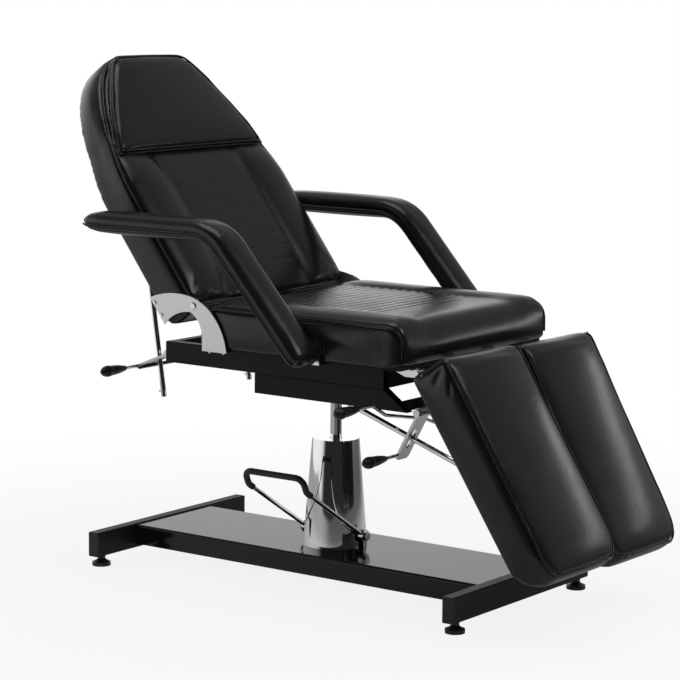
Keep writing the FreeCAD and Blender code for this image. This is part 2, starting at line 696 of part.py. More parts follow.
def pillow():
    """A wedge pillow: wide and thin at its lower edge, narrow and thick at the top."""
    low = 2.0 - BACK_SEAM
    slices = []
    for share in (0.0, 0.05, 0.25, 0.5, 0.75, 0.9, 0.97, 1.0):
        straight = PILLOW_BASE + (PILLOW_TOP - PILLOW_BASE) * share
        edge = max(abs(2 * share - 1) - 0.8, 0) / 0.2
        half = straight / 2 + 16 * math.sin(math.pi * share) - 9 * edge * edge
        seam = low + PILLOW_THIN + (PILLOW_THICK - PILLOW_THIN) * share - 3 * edge
        crown = PILLOW_CROWN * math.sin(math.pi * (0.1 + 0.8 * share))
        flare = PILLOW_FLARE * (1 - share)
        slices.append(crown_slice(0, PILLOW_START + PILLOW_LENGTH * share, half, flare, low, seam, crown, 3))
    return Part.makeLoft(slices, True, True)


def back_screws(extra):
    """Screws through the upper brackets into the edge of the back board."""
    outer = BRACKET_X + BRACKET_SHEET
    level = -BACK_REAR + BOARD_SHEET / 2
    inner = outer - SCREW_LENGTH
    return [pin_x(inner, outer, along, level, SCREW_DIAMETER + 2 * extra) for along in (36, 70)]


def place_back(shape):
    return tilt(shape, BACK_HINGE, BACK_ANGLE)


save("back_board", place_back(back_board(0).cut([s for one in back_screws(0) for s in both_sides(one)])))
save("back_pad", place_back(back_pad()))
save("pillow", place_back(pillow()))


# Crescent hinge brackets at the seat's rear corners
def knuckle_point(degrees):
    turn = math.radians(degrees)
    return (BACK_HINGE.y + KNUCKLE * math.cos(turn), BACK_HINGE.z + KNUCKLE * math.sin(turn))


def lower_bracket(x0, x1):
    """From its foot under the seat board up to the knuckle, with a folded flange."""
    y = BACK_HINGE.y
    foot_z = BOARD_BOTTOM - BRACKET_SHEET
    rear = y - BRACKET_AHEAD
    front = rear - BRACKET_FOOT
    plate = side_plate(x0, x1, (rear, foot_z), (rear, foot_z + 30),
                       ((rear + 7, BACK_HINGE.z - 42), knuckle_point(-75)),
                       (knuckle_point(0), knuckle_point(105)),
                       ((y - 60, BACK_HINGE.z - 20), (front, foot_z)))
    flange = block(x1 - BRACKET_FLANGE, x1, front, rear, foot_z, BOARD_BOTTOM)
    return fuse(plate, flange).cut(pin_x(x0 - 5, x1 + 5, y, BACK_HINGE.z, HINGE_PIN_DIAMETER))


def upper_bracket(x0, x1):
    """From the knuckle to the edge of the back board, where two screws hold it."""
    rear = 1 - BACK_REAR
    high = tilted(BACK_HINGE, BACK_ANGLE, BRACKET_REACH, rear)
    low = tilted(BACK_HINGE, BACK_ANGLE, 14, rear)
    plate = side_plate(x0, x1, low, ((BACK_HINGE.y + 46, BACK_HINGE.z - 20), knuckle_point(-62)),
                       (knuckle_point(180), knuckle_point(105)),
                       ((BACK_HINGE.y + 58, BACK_HINGE.z + 25), high))
    plate = plate.cut(pin_x(x0 - 5, x1 + 5, BACK_HINGE.y, BACK_HINGE.z, HINGE_PIN_DIAMETER + 2 * RUNNING))
    return plate.cut([place_back(screw) for screw in back_screws(0)])


def hinge_pin():
    """A pin fixed in the lower bracket, with a round head outside it and a thin clip inside the upper one."""
    outer = LOWER_PLATE[1]
    shank = pin_x(UPPER_PLATE[0], outer, BACK_HINGE.y, BACK_HINGE.z, HINGE_PIN_DIAMETER)
    foot = Vector(outer, BACK_HINGE.y, BACK_HINGE.z)
    head = Part.makeCone(KNUCKLE * 0.55, KNUCKLE * 0.4, BRACKET_SHEET, foot, X_AXIS)
    return fuse(shank, head)


def screw_head(x, y, z):
    """The low head of a screw in a folded flange under the seat board."""
    return post(x, y, z - 5, z, SCREW_HEAD)


def back_screw(screw):
    """A screw with a domed head against the outside of the upper bracket."""
    x1 = screw.BoundBox.XMax
    y = screw.CenterOfMass.y
    z = screw.CenterOfMass.z
    head = Part.makeCone(SCREW_HEAD / 2, SCREW_HEAD / 3, BRACKET_SHEET * 0.8, Vector(x1, y, z), X_AXIS)
    return fuse(screw, head)


UPPER_PLATE = (BRACKET_X, BRACKET_X + BRACKET_SHEET)
LOWER_PLATE = (UPPER_PLATE[1] + SOFT_GAP, UPPER_PLATE[1] + SOFT_GAP + BRACKET_SHEET)
FLANGE_BOTTOM = BOARD_BOTTOM - BRACKET_SHEET
save("hinge_lower_brackets", *both_sides(lower_bracket(*LOWER_PLATE)))
save("hinge_upper_brackets", *both_sides(upper_bracket(*UPPER_PLATE)))
save("hinge_pins", *both_sides(hinge_pin()))
seat_heads = [screw_head(LOWER_PLATE[0] - SCREW_HEAD, BACK_HINGE.y - BRACKET_AHEAD - BRACKET_FOOT * share,
                         FLANGE_BOTTOM) for share in (0.22, 0.78)]
save("seat_bracket_screws", *[head for one in seat_heads for head in both_sides(one)])
back_heads = [place_back(back_screw(screw)) for screw in back_screws(0)]
save("back_bracket_screws", *[head for one in back_heads for head in both_sides(one)])


# Clevis brackets, eyes and pins of the sliding rods
def rod_clevis(along, face, out):
    """A base on a board's rear face with two ears. Out is +1 or -1, the way the ears point."""
    reach = ROD_STAND_OFF
    gap = ROD_EYE_WIDTH / 2 + 2 * RUNNING
    base = block(ROD_X - 28, ROD_X + 28, along - 24, along + 24, min(face, face + out * EAR_SHEET),
                 max(face, face + out * EAR_SHEET))
    ears = []
    for x0 in (ROD_X - gap - EAR_SHEET, ROD_X + gap):
        ears.append(side_plate(x0, x0 + EAR_SHEET, (along - 16, face), (along + 16, face),
                               (along + 11, face + out * reach),
                               ((along, face + out * (reach + 11)), (along - 11, face + out * reach))))
    return fuse(base, *ears).cut(pin_x(ROD_X - 60, ROD_X + 60, along, face + out * reach, ROD_PIN_DIAMETER))


def rod_pin(along, face, out):
    half = ROD_EYE_WIDTH / 2 + 2 * RUNNING + EAR_SHEET
    z = face + out * ROD_STAND_OFF
    shank = pin_x(ROD_X - half, ROD_X + half, along, z, ROD_PIN_DIAMETER)
    heads = [pin_x(ROD_X + half, ROD_X + half + 4, along, z, ROD_PIN_DIAMETER + 5),
             pin_x(ROD_X - half - 4, ROD_X - half, along, z, ROD_PIN_DIAMETER + 5)]
    return fuse(shank, *heads)


def sliding_rod(y, z, degrees):
    """A rod from its eye, running off at an angle above +Y, with a stop screw at its tail."""
    turn = math.radians(degrees)
    way = Vector(0, math.cos(turn), math.sin(turn))
    eye_centre = Vector(ROD_X, y, z)
    start = ROD_EYE * 0.3
    shank = Part.makeCylinder(ROD_DIAMETER / 2, ROD_LENGTH - start, eye_centre + way * start, way)
    tail = eye_centre + way * (ROD_LENGTH - 14)
    stop = Part.makeCylinder(2.5, ROD_DIAMETER, tail, Vector(0, -way.z, way.y))
    eye = pin_x(ROD_X - ROD_EYE_WIDTH / 2, ROD_X + ROD_EYE_WIDTH / 2, y, z, ROD_EYE)
    bore = pin_x(ROD_X - ROD_EYE, ROD_X + ROD_EYE, y, z, ROD_PIN_DIAMETER + 2 * RUNNING)
    return fuse(shank, eye, stop).cut(bore)


def heading(start, end):
    """Angle above +Y, in degrees, from one place in the YZ plane to another."""
    return math.degrees(math.atan2(end[1] - start[1], end[0] - start[0]))


BACK_ROD_PIVOT = tilted(BACK_HINGE, BACK_ANGLE, BACK_ROD_ALONG, -BACK_REAR - ROD_STAND_OFF)
BACK_CROSSING = tilted(BACK_JAM, BACK_JAM_SLOPE, BACK_JAM_CROSS, 0)
LEG_CROSSING = tilted(LEG_JAM, LEG_JAM_SLOPE, LEG_JAM_CROSS, 0)
BACK_CLEVIS = (BACK_ROD_ALONG, -BACK_REAR, -1)
save("back_rod_clevises", *[one for piece in (rod_clevis, rod_pin) for one in both_sides(
    place_back(piece(*BACK_CLEVIS)))])
save("back_rods", *both_sides(sliding_rod(*BACK_ROD_PIVOT, heading(BACK_ROD_PIVOT, BACK_CROSSING))))


# Leg rests, made lying flat ahead of their hinge: Y runs back to the hinge and Z out of the face
def leg_pad():
    low = LEG_LIFT
    slices = []
    rounded = [LEG_LENGTH - left for left in (LEG_ROLL, 48, 30, 14, 0)]
    for along in [0.0, 12.0, 60.0, 300.0] + rounded:
        corner = max(0.0, along - (LEG_LENGTH - LEG_CORNER)) / (LEG_CORNER + 6)
        under = max(0.0, along - (LEG_LENGTH - LEG_ROLL)) / (LEG_ROLL + 6)
        top = max(0.0, 1 - along / 12.0)
        seam = low + LEG_THICKNESS_TOP + (LEG_THICKNESS_END - LEG_THICKNESS_TOP) * along / LEG_LENGTH
        half = LEG_WIDTH / 2 - LEG_CORNER * round_off(corner) - 4 * top
        crown = LEG_CROWN * (1 - 0.5 * top - 0.4 * corner)
        slices.append(crown_slice(LEG_X, -LEG_START - along, half, 0, low + LEG_ROLL * round_off(under),
                                  seam - 10 * top - 6 * corner, crown, 5))
    return Part.makeLoft(slices, True, True).cut(leg_board(SOFT_GAP))


def leg_board(extra):
    half = LEG_WIDTH / 2 - BOARD_INSET + extra
    ease = BOARD_INSET - extra
    low = LEG_LIFT - BOARD_SHOW
    return block(LEG_X - half, LEG_X + half, -LEG_START - LEG_LENGTH + LEG_ROLL + ease, -LEG_START - ease,
                 low, low + BOARD_SHEET + extra)


def strap_places():
    return (LEG_X - LEG_STRAP_SPREAD / 2, LEG_X + LEG_STRAP_SPREAD / 2)


def leg_strap(x):
    """A flat iron under the leg board that curls into an eye at the hinge."""
    half = STRAP_IRON / 2
    face = LEG_LIFT - BOARD_SHOW
    iron = block(x - half, x + half, -LEG_STRAP_LENGTH, 0, face - BRACKET_SHEET, face)
    neck = block(x - half, x + half, -BRACKET_SHEET, 0, 0, face)
    eye = pin_x(x - half, x + half, 0, 0, HINGE_EYE)
    return fuse(iron, neck, eye).cut(pin_x(x - half, x + half, 0, 0, LEG_PIN_DIAMETER + 2 * RUNNING))


def leg_clevis(x):
    """A plate under the front of the seat board with two ears that hold the hinge pin."""
    half = STRAP_IRON / 2 + 2 * RUNNING
    wide = half + EAR_SHEET
    under = BOARD_BOTTOM - BRACKET_SHEET
    front = SEAT_FRONT + BOARD_INSET
    y = LEG_HINGE.y
    z = LEG_HINGE.z
    plate = block(x - wide, x + wide, front, front + 70, under, BOARD_BOTTOM)
    ears = []
    for x0 in (x - wide, x + half):
        radius = HINGE_EYE / 2
        ears.append(side_plate(x0, x0 + EAR_SHEET, (front + 50, under), (front, under), (y, z + radius),
                               ((y - radius, z), (y, z - radius)), (front + 14, z - radius)))
    return fuse(plate, *ears).cut(pin_x(x - 60, x + 60, y, z, LEG_PIN_DIAMETER))


def leg_pin(x):
    half = STRAP_IRON / 2 + 2 * RUNNING + EAR_SHEET
    shank = pin_x(x - half, x + half, LEG_HINGE.y, LEG_HINGE.z, LEG_PIN_DIAMETER)
    ends = (x - half - 4, x + half)
    heads = [pin_x(x0, x0 + 4, LEG_HINGE.y, LEG_HINGE.z, LEG_PIN_DIAMETER + 5) for x0 in ends]
    return fuse(shank, *heads)


LEG_CLEVIS = (-LEG_ROD_ALONG, LEG_LIFT - BOARD_SHOW, -1)
for name, side in (("left", 0), ("right", 1)):
    angle = LEG_ANGLES[name]

    def place_leg(shape):
        return both_sides(tilt(shape, LEG_HINGE, angle))[side]

    pivot = tilted(LEG_HINGE, angle, -LEG_ROD_ALONG, LEG_LIFT - BOARD_SHOW - ROD_STAND_OFF)
    save(name + "_leg_board", place_leg(leg_board(0)))
    save(name + "_leg_pad", place_leg(leg_pad()))
    save(name + "_leg_straps", *[place_leg(leg_strap(x)) for x in strap_places()])
    save(name + "_leg_rod_clevis", place_leg(rod_clevis(*LEG_CLEVIS)), place_leg(rod_pin(*LEG_CLEVIS)))
    save(name + "_leg_rod", both_sides(sliding_rod(*pivot, heading(pivot, LEG_CROSSING)))[side])
save("leg_hinge_clevises", *[one for piece in (leg_clevis, leg_pin) for x in strap_places()
                             for one in both_sides(piece(x))])


# Jam locks: a slotted plate on a barrel, which tilts to let its rod slide
def jam_plate(pivot, length, slope, slot_low, slot_high):
    """Made along +Y from its barrel, then turned to its slope and set at its pivot."""
    half = JAM_WIDTH / 2
    plate = block(-half, half, 0, length, -JAM_SHEET / 2, JAM_SHEET / 2)
    end_edges = [e for e in plate.Edges if e.BoundBox.YMin > length - 0.01]
    corners = [e for e in end_edges if e.BoundBox.ZLength > JAM_SHEET / 2]
    plate = plate.makeFillet(half * 0.4, corners)
    barrel = pin_x(-half, half, 0, 0, JAM_BARREL)
    width = ROD_DIAMETER + 2 * JAM_SLOT_PLAY
    ends = [post(0, end, -JAM_SHEET, JAM_SHEET, width) for end in (slot_low, slot_high)]
    slot = fuse(block(-width / 2, width / 2, slot_low, slot_high, -JAM_SHEET, JAM_SHEET), *ends)
    bore = pin_x(-half, half, 0, 0, JAM_PIN_DIAMETER + 2 * RUNNING)
    jam = tilt(fuse(plate, barrel).cut(slot).cut(bore), pivot, slope)
    jam.translate(X_AXIS * ROD_X)
    return jam


def jam_lug(pivot, y, z0, z1):
    """A plate inside of the jam plate, from the frame out to the pivot."""
    inner = ROD_X - JAM_WIDTH / 2 - 2 * RUNNING
    radius = JAM_BARREL / 2
    ahead = 1 if pivot.y > y else -1
    lug = side_plate(inner - JAM_LUG_SHEET, inner, (y, z0), (pivot.y, pivot.z - radius),
                     ((pivot.y + ahead * radius, pivot.z), (pivot.y, pivot.z + radius)), (y, z1))
    return lug.cut(pin_x(inner - 20, inner + 20, pivot.y, pivot.z, JAM_PIN_DIAMETER))


def jam_pin(pivot):
    """A bolt from the lug through the barrel, with its head outside."""
    inner = ROD_X - JAM_WIDTH / 2 - 2 * RUNNING - JAM_LUG_SHEET
    outer = ROD_X + JAM_WIDTH / 2 + 2 * RUNNING
    shank = pin_x(inner, outer, pivot.y, pivot.z, JAM_PIN_DIAMETER)
    head = hexagon(Vector(outer, pivot.y, pivot.z), X_AXIS, NUT_WIDTH, NUT_HEIGHT)
    tail = hexagon(Vector(inner - NUT_HEIGHT, pivot.y, pivot.z), X_AXIS, NUT_WIDTH, NUT_HEIGHT)
    return fuse(shank, head, tail)


def grip(tip_neck, way):
    """An egg-shaped grip, revolved about its rod, from the neck outwards."""
    radius = GRIP_DIAMETER / 2
    neck = HANDLE_ROD / 2 + 2
    shape = outline(lambda r, z: Vector(r, 0, z), (HANDLE_ROD / 2, 0), (neck, 0),
                    ((radius * 0.86, GRIP_LENGTH * 0.3), (radius, GRIP_LENGTH * 0.62)),
                    ((radius * 0.82, GRIP_LENGTH * 0.9), (neck / 2, GRIP_LENGTH)), (0, GRIP_LENGTH),
                    (0, ROD_IN_GRIP), (HANDLE_ROD / 2, ROD_IN_GRIP))
    egg = Part.Face(shape).revolve(Vector(0, 0, 0), Z_AXIS, 360)
    egg.Placement = FreeCAD.Placement(tip_neck, FreeCAD.Rotation(Z_AXIS, way))
    return egg


ROD_IN_GRIP = GRIP_LENGTH * 0.75
BACK_SLOT = (BACK_JAM_CROSS - 12.0, BACK_JAM_CROSS + 24.0)
LEG_SLOT = (LEG_JAM_CROSS - 19.0, LEG_JAM_CROSS + 19.0)
BACK_JAM_END = tilted(BACK_JAM, BACK_JAM_SLOPE, BACK_JAM_LENGTH - 14, 0)
LEG_JAM_END = tilted(LEG_JAM, LEG_JAM_SLOPE, LEG_JAM_LENGTH - 12, 0)
JAM_SIDE = ROD_X + JAM_WIDTH / 2


def straight_handle(end):
    """A thin rod out of the jam plate's edge towards the sitter's right."""
    return pin_x(-JAM_SIDE - GRIP_NECK - ROD_IN_GRIP, -JAM_SIDE, end[0], end[1], HANDLE_ROD)


def grip_on(end):
    return grip(Vector(-JAM_SIDE - GRIP_NECK, end[0], end[1]), -X_AXIS)


def crossing_route():
    """From the left leg's jam plate, over the right rod, under the right tube, then up and outwards."""
    y, z = LEG_JAM_END
    inside = LOWER_X - 2 * RAIL_WIDTH
    outside = LOWER_X + RAIL_WIDTH
    start = Vector(ROD_X - JAM_WIDTH / 2, y, z)
    over = Vector(-inside * 0.45, y + 14, LOWER_BOTTOM - 36)
    under = Vector(-outside + 6, y + 20, LOWER_BOTTOM - 9)
    rise = Vector(-outside - 42, y + 21, LOWER_BOTTOM + 18)
    end = rise - X_AXIS * (GRIP_NECK + ROD_IN_GRIP + 12)
    return [start, start - X_AXIS * JAM_WIDTH / 2, over, under, rise, end]


def tie_bar():
    """The bar that makes both back jam plates tilt together, under their outer ends."""
    half = JAM_SIDE
    along = BACK_JAM_LENGTH * 0.8
    bar = block(-half, half, along - 9, along + 9, -JAM_SHEET / 2 - 6, -JAM_SHEET / 2)
    return tilt(bar, BACK_JAM, BACK_JAM_SLOPE)


BACK_PLATE = jam_plate(BACK_JAM, BACK_JAM_LENGTH, BACK_JAM_SLOPE, *BACK_SLOT)
LEG_PLATE = jam_plate(LEG_JAM, LEG_JAM_LENGTH, LEG_JAM_SLOPE, *LEG_SLOT)
LOCK_BAR_FRONT = -LOWER_FRONT + LOWER_SLANT * 0.2
save("back_lock_plates", *both_sides(BACK_PLATE))
save("back_lock_tie_bar", tie_bar())
save("back_lock_handle", straight_handle(BACK_JAM_END))
save("back_lock_grip", grip_on(BACK_JAM_END))
save("lock_lugs", *both_sides(jam_lug(BACK_JAM, RAIL_REAR, RAIL_BOTTOM, RAIL_TOP - 8)),
     *both_sides(jam_lug(LEG_JAM, LOCK_BAR_FRONT, LOWER_BOTTOM, LOWER_BOTTOM + RAIL_WIDTH * 0.8)))
save("lock_pins", *both_sides(jam_pin(BACK_JAM)), *both_sides(jam_pin(LEG_JAM)))
save("right_leg_lock_plate", both_sides(LEG_PLATE)[1])
save("right_leg_lock_handle", straight_handle(LEG_JAM_END))
save("right_leg_lock_grip", grip_on(LEG_JAM_END))
ROUTE = crossing_route()
save("left_leg_lock_plate", LEG_PLATE)
save("left_leg_lock_handle", rod_along(bent_path(ROUTE, HANDLE_BEND), HANDLE_ROD))
save("left_leg_lock_grip", grip(ROUTE[-1] + X_AXIS * ROD_IN_GRIP, -X_AXIS))


# Arms: an upholstered band round a flat iron core that turns on a bolt beside the seat
def arm_stations():
    """Centre and heading of the band from its rear tip, round the bend, down to its lower end."""
    level = ARM_TOP - ARM_THICKNESS / 2
    turn = math.radians(ARM_SLOPE)
    reach = ARM_BEND * math.tan(turn / 2)
    tip = ARM_CORNER_Y + ARM_RUN
    stations = [(tip, level, 0.0, ARM_TIP), (tip - 14, level, 0.0, 0.86), (tip - 44, level, 0.0, 1.0)]
    for k in range(6):
        bend = turn * k / 5
        y = ARM_CORNER_Y + reach - ARM_BEND * math.sin(bend)
        z = level - ARM_BEND * (1 - math.cos(bend))
        stations.append((y, z, bend, 1.0))
    for down, size in ((ARM_DROP_RUN - 26, 1.0), (ARM_DROP_RUN - 9, 0.9), (ARM_DROP_RUN, 0.66)):
        stations.append((ARM_CORNER_Y - down * math.cos(turn), level - down * math.sin(turn), turn, size))
    return stations


def band_slice(station, width, thickness, crown):
    """A slice square to the band's heading: flat below, drawn-in sides, crowned above."""
    y, z, bend, size = station
    half = width / 2 * (0.6 + 0.4 * size)
    thick = thickness / 2 * size

    def place(x, out):
        return Vector(ARM_X + x, y - out * math.sin(bend), z + out * math.cos(bend))

    if crown == 0:
        return outline(place, (-half, -thick), (-half, thick), (half, thick), (half, -thick))
    edge = thick - crown * size
    lower = 8 - thick
    middle = (edge + lower) / 2
    return outline(place, (-half + 6, -thick), (-half, lower), ((-half + 2, middle), (-half, edge)),
                   ((0, thick), (half, edge)), ((half - 2, middle), (half, lower)), (half - 6, -thick))


def arm_pivot():
    turn = math.radians(ARM_SLOPE)
    return (ARM_CORNER_Y - ARM_PIVOT_DOWN * math.cos(turn),
            ARM_TOP - ARM_THICKNESS / 2 - ARM_PIVOT_DOWN * math.sin(turn))


ARM_INNER = ARM_X - ARM_WIDTH / 2
DISC_OUTER = ARM_INNER - SOFT_GAP


def arm_core(extra):
    """The flat iron, with a barrel across its lower end for the bolt."""
    y, z = arm_pivot()
    middle = []
    for station in arm_stations()[2:9]:
        middle.append(station[:3] + (1.0,))
    last = (y, z, math.radians(ARM_SLOPE), 1.0)
    width = ARM_CORE_WIDTH + 2 * extra
    sheet = ARM_CORE_SHEET + 2 * extra
    iron = Part.makeLoft([band_slice(s, width, sheet, 0) for s in middle + [last]], True, True)
    half = ARM_WIDTH * 0.36
    barrel = pin_x(ARM_INNER, ARM_X + half + extra, y, z, ARM_BARREL + 2 * extra)
    core = fuse(iron, barrel)
    if extra == 0:
        core = core.cut(pin_x(ARM_INNER, ARM_X + half, y, z, ARM_PIN_DIAMETER + 2 * RUNNING))
    return core


def arm_pad():
    band = Part.makeLoft([band_slice(s, ARM_WIDTH, ARM_THICKNESS, 14) for s in arm_stations()], True, True)
    return band.cut(arm_core(SOFT_GAP))


def arm_bracket():
    """An angle under the seat board whose upright ends in a round disc beside the pad."""
    y, z = arm_pivot()
    inner = DISC_OUTER - BRACKET_SHEET
    low = BOARD_BOTTOM - BRACKET_SHEET
    upright = block(inner, DISC_OUTER, y - 20, y + 20, low, z)
    disc = pin_x(inner, DISC_OUTER, y, z, ARM_DISC)
    flange = block(RAIL_SPREAD / 2 + 1, DISC_OUTER, y - 20, y + 20, low, BOARD_BOTTOM)
    return fuse(upright, disc, flange).cut(pin_x(inner, DISC_OUTER, y, z, ARM_PIN_DIAMETER))


def arm_bolt():
    y, z = arm_pivot()
    inner = DISC_OUTER - BRACKET_SHEET
    return pin_x(inner, ARM_X + ARM_WIDTH * 0.36 - 1, y, z, ARM_PIN_DIAMETER)


for name, side in (("left", 0), ("right", 1)):
    save(name + "_arm_core", both_sides(arm_core(0))[side])
    save(name + "_arm_pad", both_sides(arm_pad())[side])
save("arm_brackets", *both_sides(arm_bracket()), *both_sides(arm_bolt()))

box = Part.makeCompound([body for name, body in BUILT]).BoundBox
print("nodes", len(BUILT), "X", round(box.XMin, 1), round(box.XMax, 1),
      "Y", round(box.YMin, 1), round(box.YMax, 1), "Z", round(box.ZMin, 1), round(box.ZMax, 1))
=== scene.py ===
# %% [markdown]
# # A pedicure chair, dressed
# The chair is a hydraulic base with a seat, a reclining back, two leg rests and two swinging
# arms. Its frame, hinges and rods come from CAD as a fixed frame, and this file adds what CAD is
# poor at: stuffed pads, piping, stitches and finishes. Everything is in metres in the CAD frame,
# so a piece goes where the CAD says and nothing is fitted by eye.

# %% Load the frame
import json
import math

import bmesh
import bpy
import numpy as np
from mathutils import Matrix, Vector
from mathutils.bvhtree import BVHTree
from mathutils.kdtree import KDTree


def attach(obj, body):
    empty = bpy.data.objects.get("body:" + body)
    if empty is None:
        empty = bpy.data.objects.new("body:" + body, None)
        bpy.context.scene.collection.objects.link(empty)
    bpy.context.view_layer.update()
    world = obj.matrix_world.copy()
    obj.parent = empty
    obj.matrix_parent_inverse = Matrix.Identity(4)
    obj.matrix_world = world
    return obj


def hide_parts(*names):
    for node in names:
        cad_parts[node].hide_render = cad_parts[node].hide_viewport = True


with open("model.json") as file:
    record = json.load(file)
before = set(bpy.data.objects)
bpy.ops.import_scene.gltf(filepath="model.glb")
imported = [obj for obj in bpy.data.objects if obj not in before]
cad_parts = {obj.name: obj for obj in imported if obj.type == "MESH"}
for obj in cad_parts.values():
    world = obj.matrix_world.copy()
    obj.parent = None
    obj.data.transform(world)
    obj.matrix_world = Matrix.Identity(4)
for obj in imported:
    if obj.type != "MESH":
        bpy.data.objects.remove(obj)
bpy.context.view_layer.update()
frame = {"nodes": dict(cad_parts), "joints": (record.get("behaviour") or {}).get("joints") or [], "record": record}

SCENE = bpy.context.scene
JOINTS = {joint["name"]: Vector(joint["pos_m"]) for joint in frame["joints"] if "pos_m" in joint}

# %% [markdown]
# ## The camera
# The photograph was taken from the sitter's right and slightly above the seat with a long lens,
# which keeps the near and far leg rests almost the same size. The place, aim, tilt of the horizon
# and lens were found once from the chair's known sizes, so they are plain numbers here. A camera
# looks along its own -Z, so its axes are right, up and backwards.

# %% Camera
EYE = Vector((-4.7696, -3.4567, 1.4363))
AIM = Vector((0.01305, 0.053, 0.56857))
HORIZON_TILT = math.radians(0.477)
LENS_MM = 134.59

SCENE.camera = bpy.data.objects.new("camera", bpy.data.cameras.new("camera"))
SCENE.collection.objects.link(SCENE.camera)
SCENE.camera.data.lens = LENS_MM
SCENE.camera.data.sensor_width = 36.0
backwards = (EYE - AIM).normalized()
right = Vector((0, 0, 1)).cross(backwards).normalized()
axes = Matrix((right, backwards.cross(right), backwards)).transposed()
axes = Matrix.Rotation(HORIZON_TILT, 3, backwards) @ axes
SCENE.camera.matrix_world = Matrix.Translation(EYE) @ axes.to_4x4()
print("camera", round((EYE - AIM).length, 2), "m from its aim")

# %% [markdown]
# ## Shader sums as Python
# A material is a tree of nodes, and a tree built line by line is hard to read. One small class
# wraps a socket so that `1 - mask` or `0.4 + 0.1 * grain` adds the Math nodes by itself. Every
# other node comes from its `node` method, which takes the node's type, its settings, and the
# values or links of its sockets.


# %% A socket that can be added and multiplied
class Wire:
    """A socket in a node tree, or a tree to start from."""

    def __init__(self, tree, socket=None):
        self.tree = tree
        self.socket = socket

    def node(self, kind, out=0, settings=None, sockets=None):
        made = self.tree.nodes.new(kind)
        for name, value in (settings or {}).items():
            setattr(made, name, value)
        for name, value in (sockets or {}).items():
            if isinstance(value, Wire):
                self.tree.links.new(value.socket, made.inputs[name])
            else:
                made.inputs[name].default_value = value
        return Wire(self.tree, made.outputs[out] if made.outputs else None)

    def maths(self, operation, first, second):
        return self.node("ShaderNodeMath", 0, {"operation": operation}, {0: first, 1: second})

    def __add__(self, other):
        return self.maths("ADD", self, other)

    def __sub__(self, other):
        return self.maths("SUBTRACT", self, other)

    def __rsub__(self, other):
        return self.maths("SUBTRACT", other, self)

    def __mul__(self, other):
        return self.maths("MULTIPLY", self, other)

    __radd__ = __add__
    __rmul__ = __mul__


def ramp(value, start, end, low=0.0, high=1.0):
    """A smooth step from low to high while a value goes from start to end."""
    return value.node("ShaderNodeMapRange", 0, {"interpolation_type": "SMOOTHSTEP"},
                      {"Value": value, "From Min": start, "From Max": end,
                       "To Min": low, "To Max": high})


print("shader sums ready")

# %% [markdown]
# ## The studio
# The photograph is a cut-out on white. Turning up the lights until the backdrop clips would also
# wash out the black pads, so the world asks what kind of ray is looking. A camera ray sees plain
# white. A mirror ray sees a studio: a white sweep along the chair's back, a grey room in front and
# above, and darkness round the camera. That contrast is what makes chrome look like chrome.
# Everything else gets a modest, even light.

# %% World
AMBIENT = 0.4
ROOM = 0.26
ROOM_BELOW = 0.35
DARK = 0.02
SWEEP = 0.8
SWEEP_SIDE = (0.2, 0.55)
SWEEP_TOP = (0.6, 0.15)
CAMERA_SIDE = (-0.2, 0.5)
HORIZON = (-0.12, 0.06)

SCENE.view_settings.view_transform = "Standard"
SCENE.world = bpy.data.worlds.new("studio")
SCENE.world.use_nodes = True
SCENE.world.node_tree.nodes.clear()
sky = Wire(SCENE.world.node_tree)
look = sky.node("ShaderNodeTexCoord", "Generated")
depth = sky.node("ShaderNodeSeparateXYZ", "Y", None, {0: look})
height = sky.node("ShaderNodeSeparateXYZ", "Z", None, {0: look})
behind = ramp(depth, *SWEEP_SIDE)
low = ramp(height, *SWEEP_TOP)
facing = sky.node("ShaderNodeVectorMath", "Value", {"operation": "DOT_PRODUCT"},
                  {0: look, 1: backwards})
room = ramp(facing, *CAMERA_SIDE, ROOM, 0.0)
raised = ramp(height, *HORIZON)
mirrored = DARK + room * (ROOM_BELOW + (1 - ROOM_BELOW) * raised) + SWEEP * behind * low
seen = sky.node("ShaderNodeLightPath", "Is Camera Ray")
glossy = sky.node("ShaderNodeLightPath", "Is Glossy Ray")
through = sky.node("ShaderNodeLightPath", "Is Transmission Ray")
plain = 1 - seen - glossy - through
strength = seen + through + glossy * mirrored + AMBIENT * plain
light = sky.node("ShaderNodeBackground", 0, None, {"Color": (1, 1, 1, 1), "Strength": strength})
sky.node("ShaderNodeOutputWorld", 0, None, {"Surface": light})
print("world: white for the camera, a studio for mirrors")

# %% [markdown]
# The floor is pale and takes the chair's shadow. For the camera it is mixed with white, more so
# away from the chair, so the shadow stays close to the feet and the floor fades into the backdrop
# with no visible horizon. Mirrors see it pale under the chair and towards the sweep, and dark
# towards the camera.

# %% Floor
FLOOR_SIZE = 5.0
FLOOR_GREY = (0.8, 0.8, 0.8, 1)
SHADOW_SHARE = 0.13
SHADOW_REACH = (0.7, 2.2)
FLOOR_FRONT = 0.10
FLOOR_BACK = 0.35
FLOOR_DEPTH = (-0.8, 0.6)
FLOOR_NEAR = 0.20
NEAR_REACH = (1.7, 0.9)


def new_finish(name):
    """An empty material and the wire that its nodes start from."""
    material = bpy.data.materials.new(name)
    material.use_nodes = True
    material.node_tree.nodes.clear()
    return material, Wire(material.node_tree)


def new_piece(name, data):
    piece = bpy.data.objects.new(name, data)
    SCENE.collection.objects.link(piece)
    return piece


def piece_from(shell, name):
    """A new object with the shape of a bmesh, which is used up."""
    mesh = bpy.data.meshes.new(name)
    shell.to_mesh(mesh)
    shell.free()
    return new_piece(name, mesh)


def dress(piece, finish):
    """Give a piece one finish in place of any it has."""
    piece.data.materials.clear()
    piece.data.materials.append(finish)


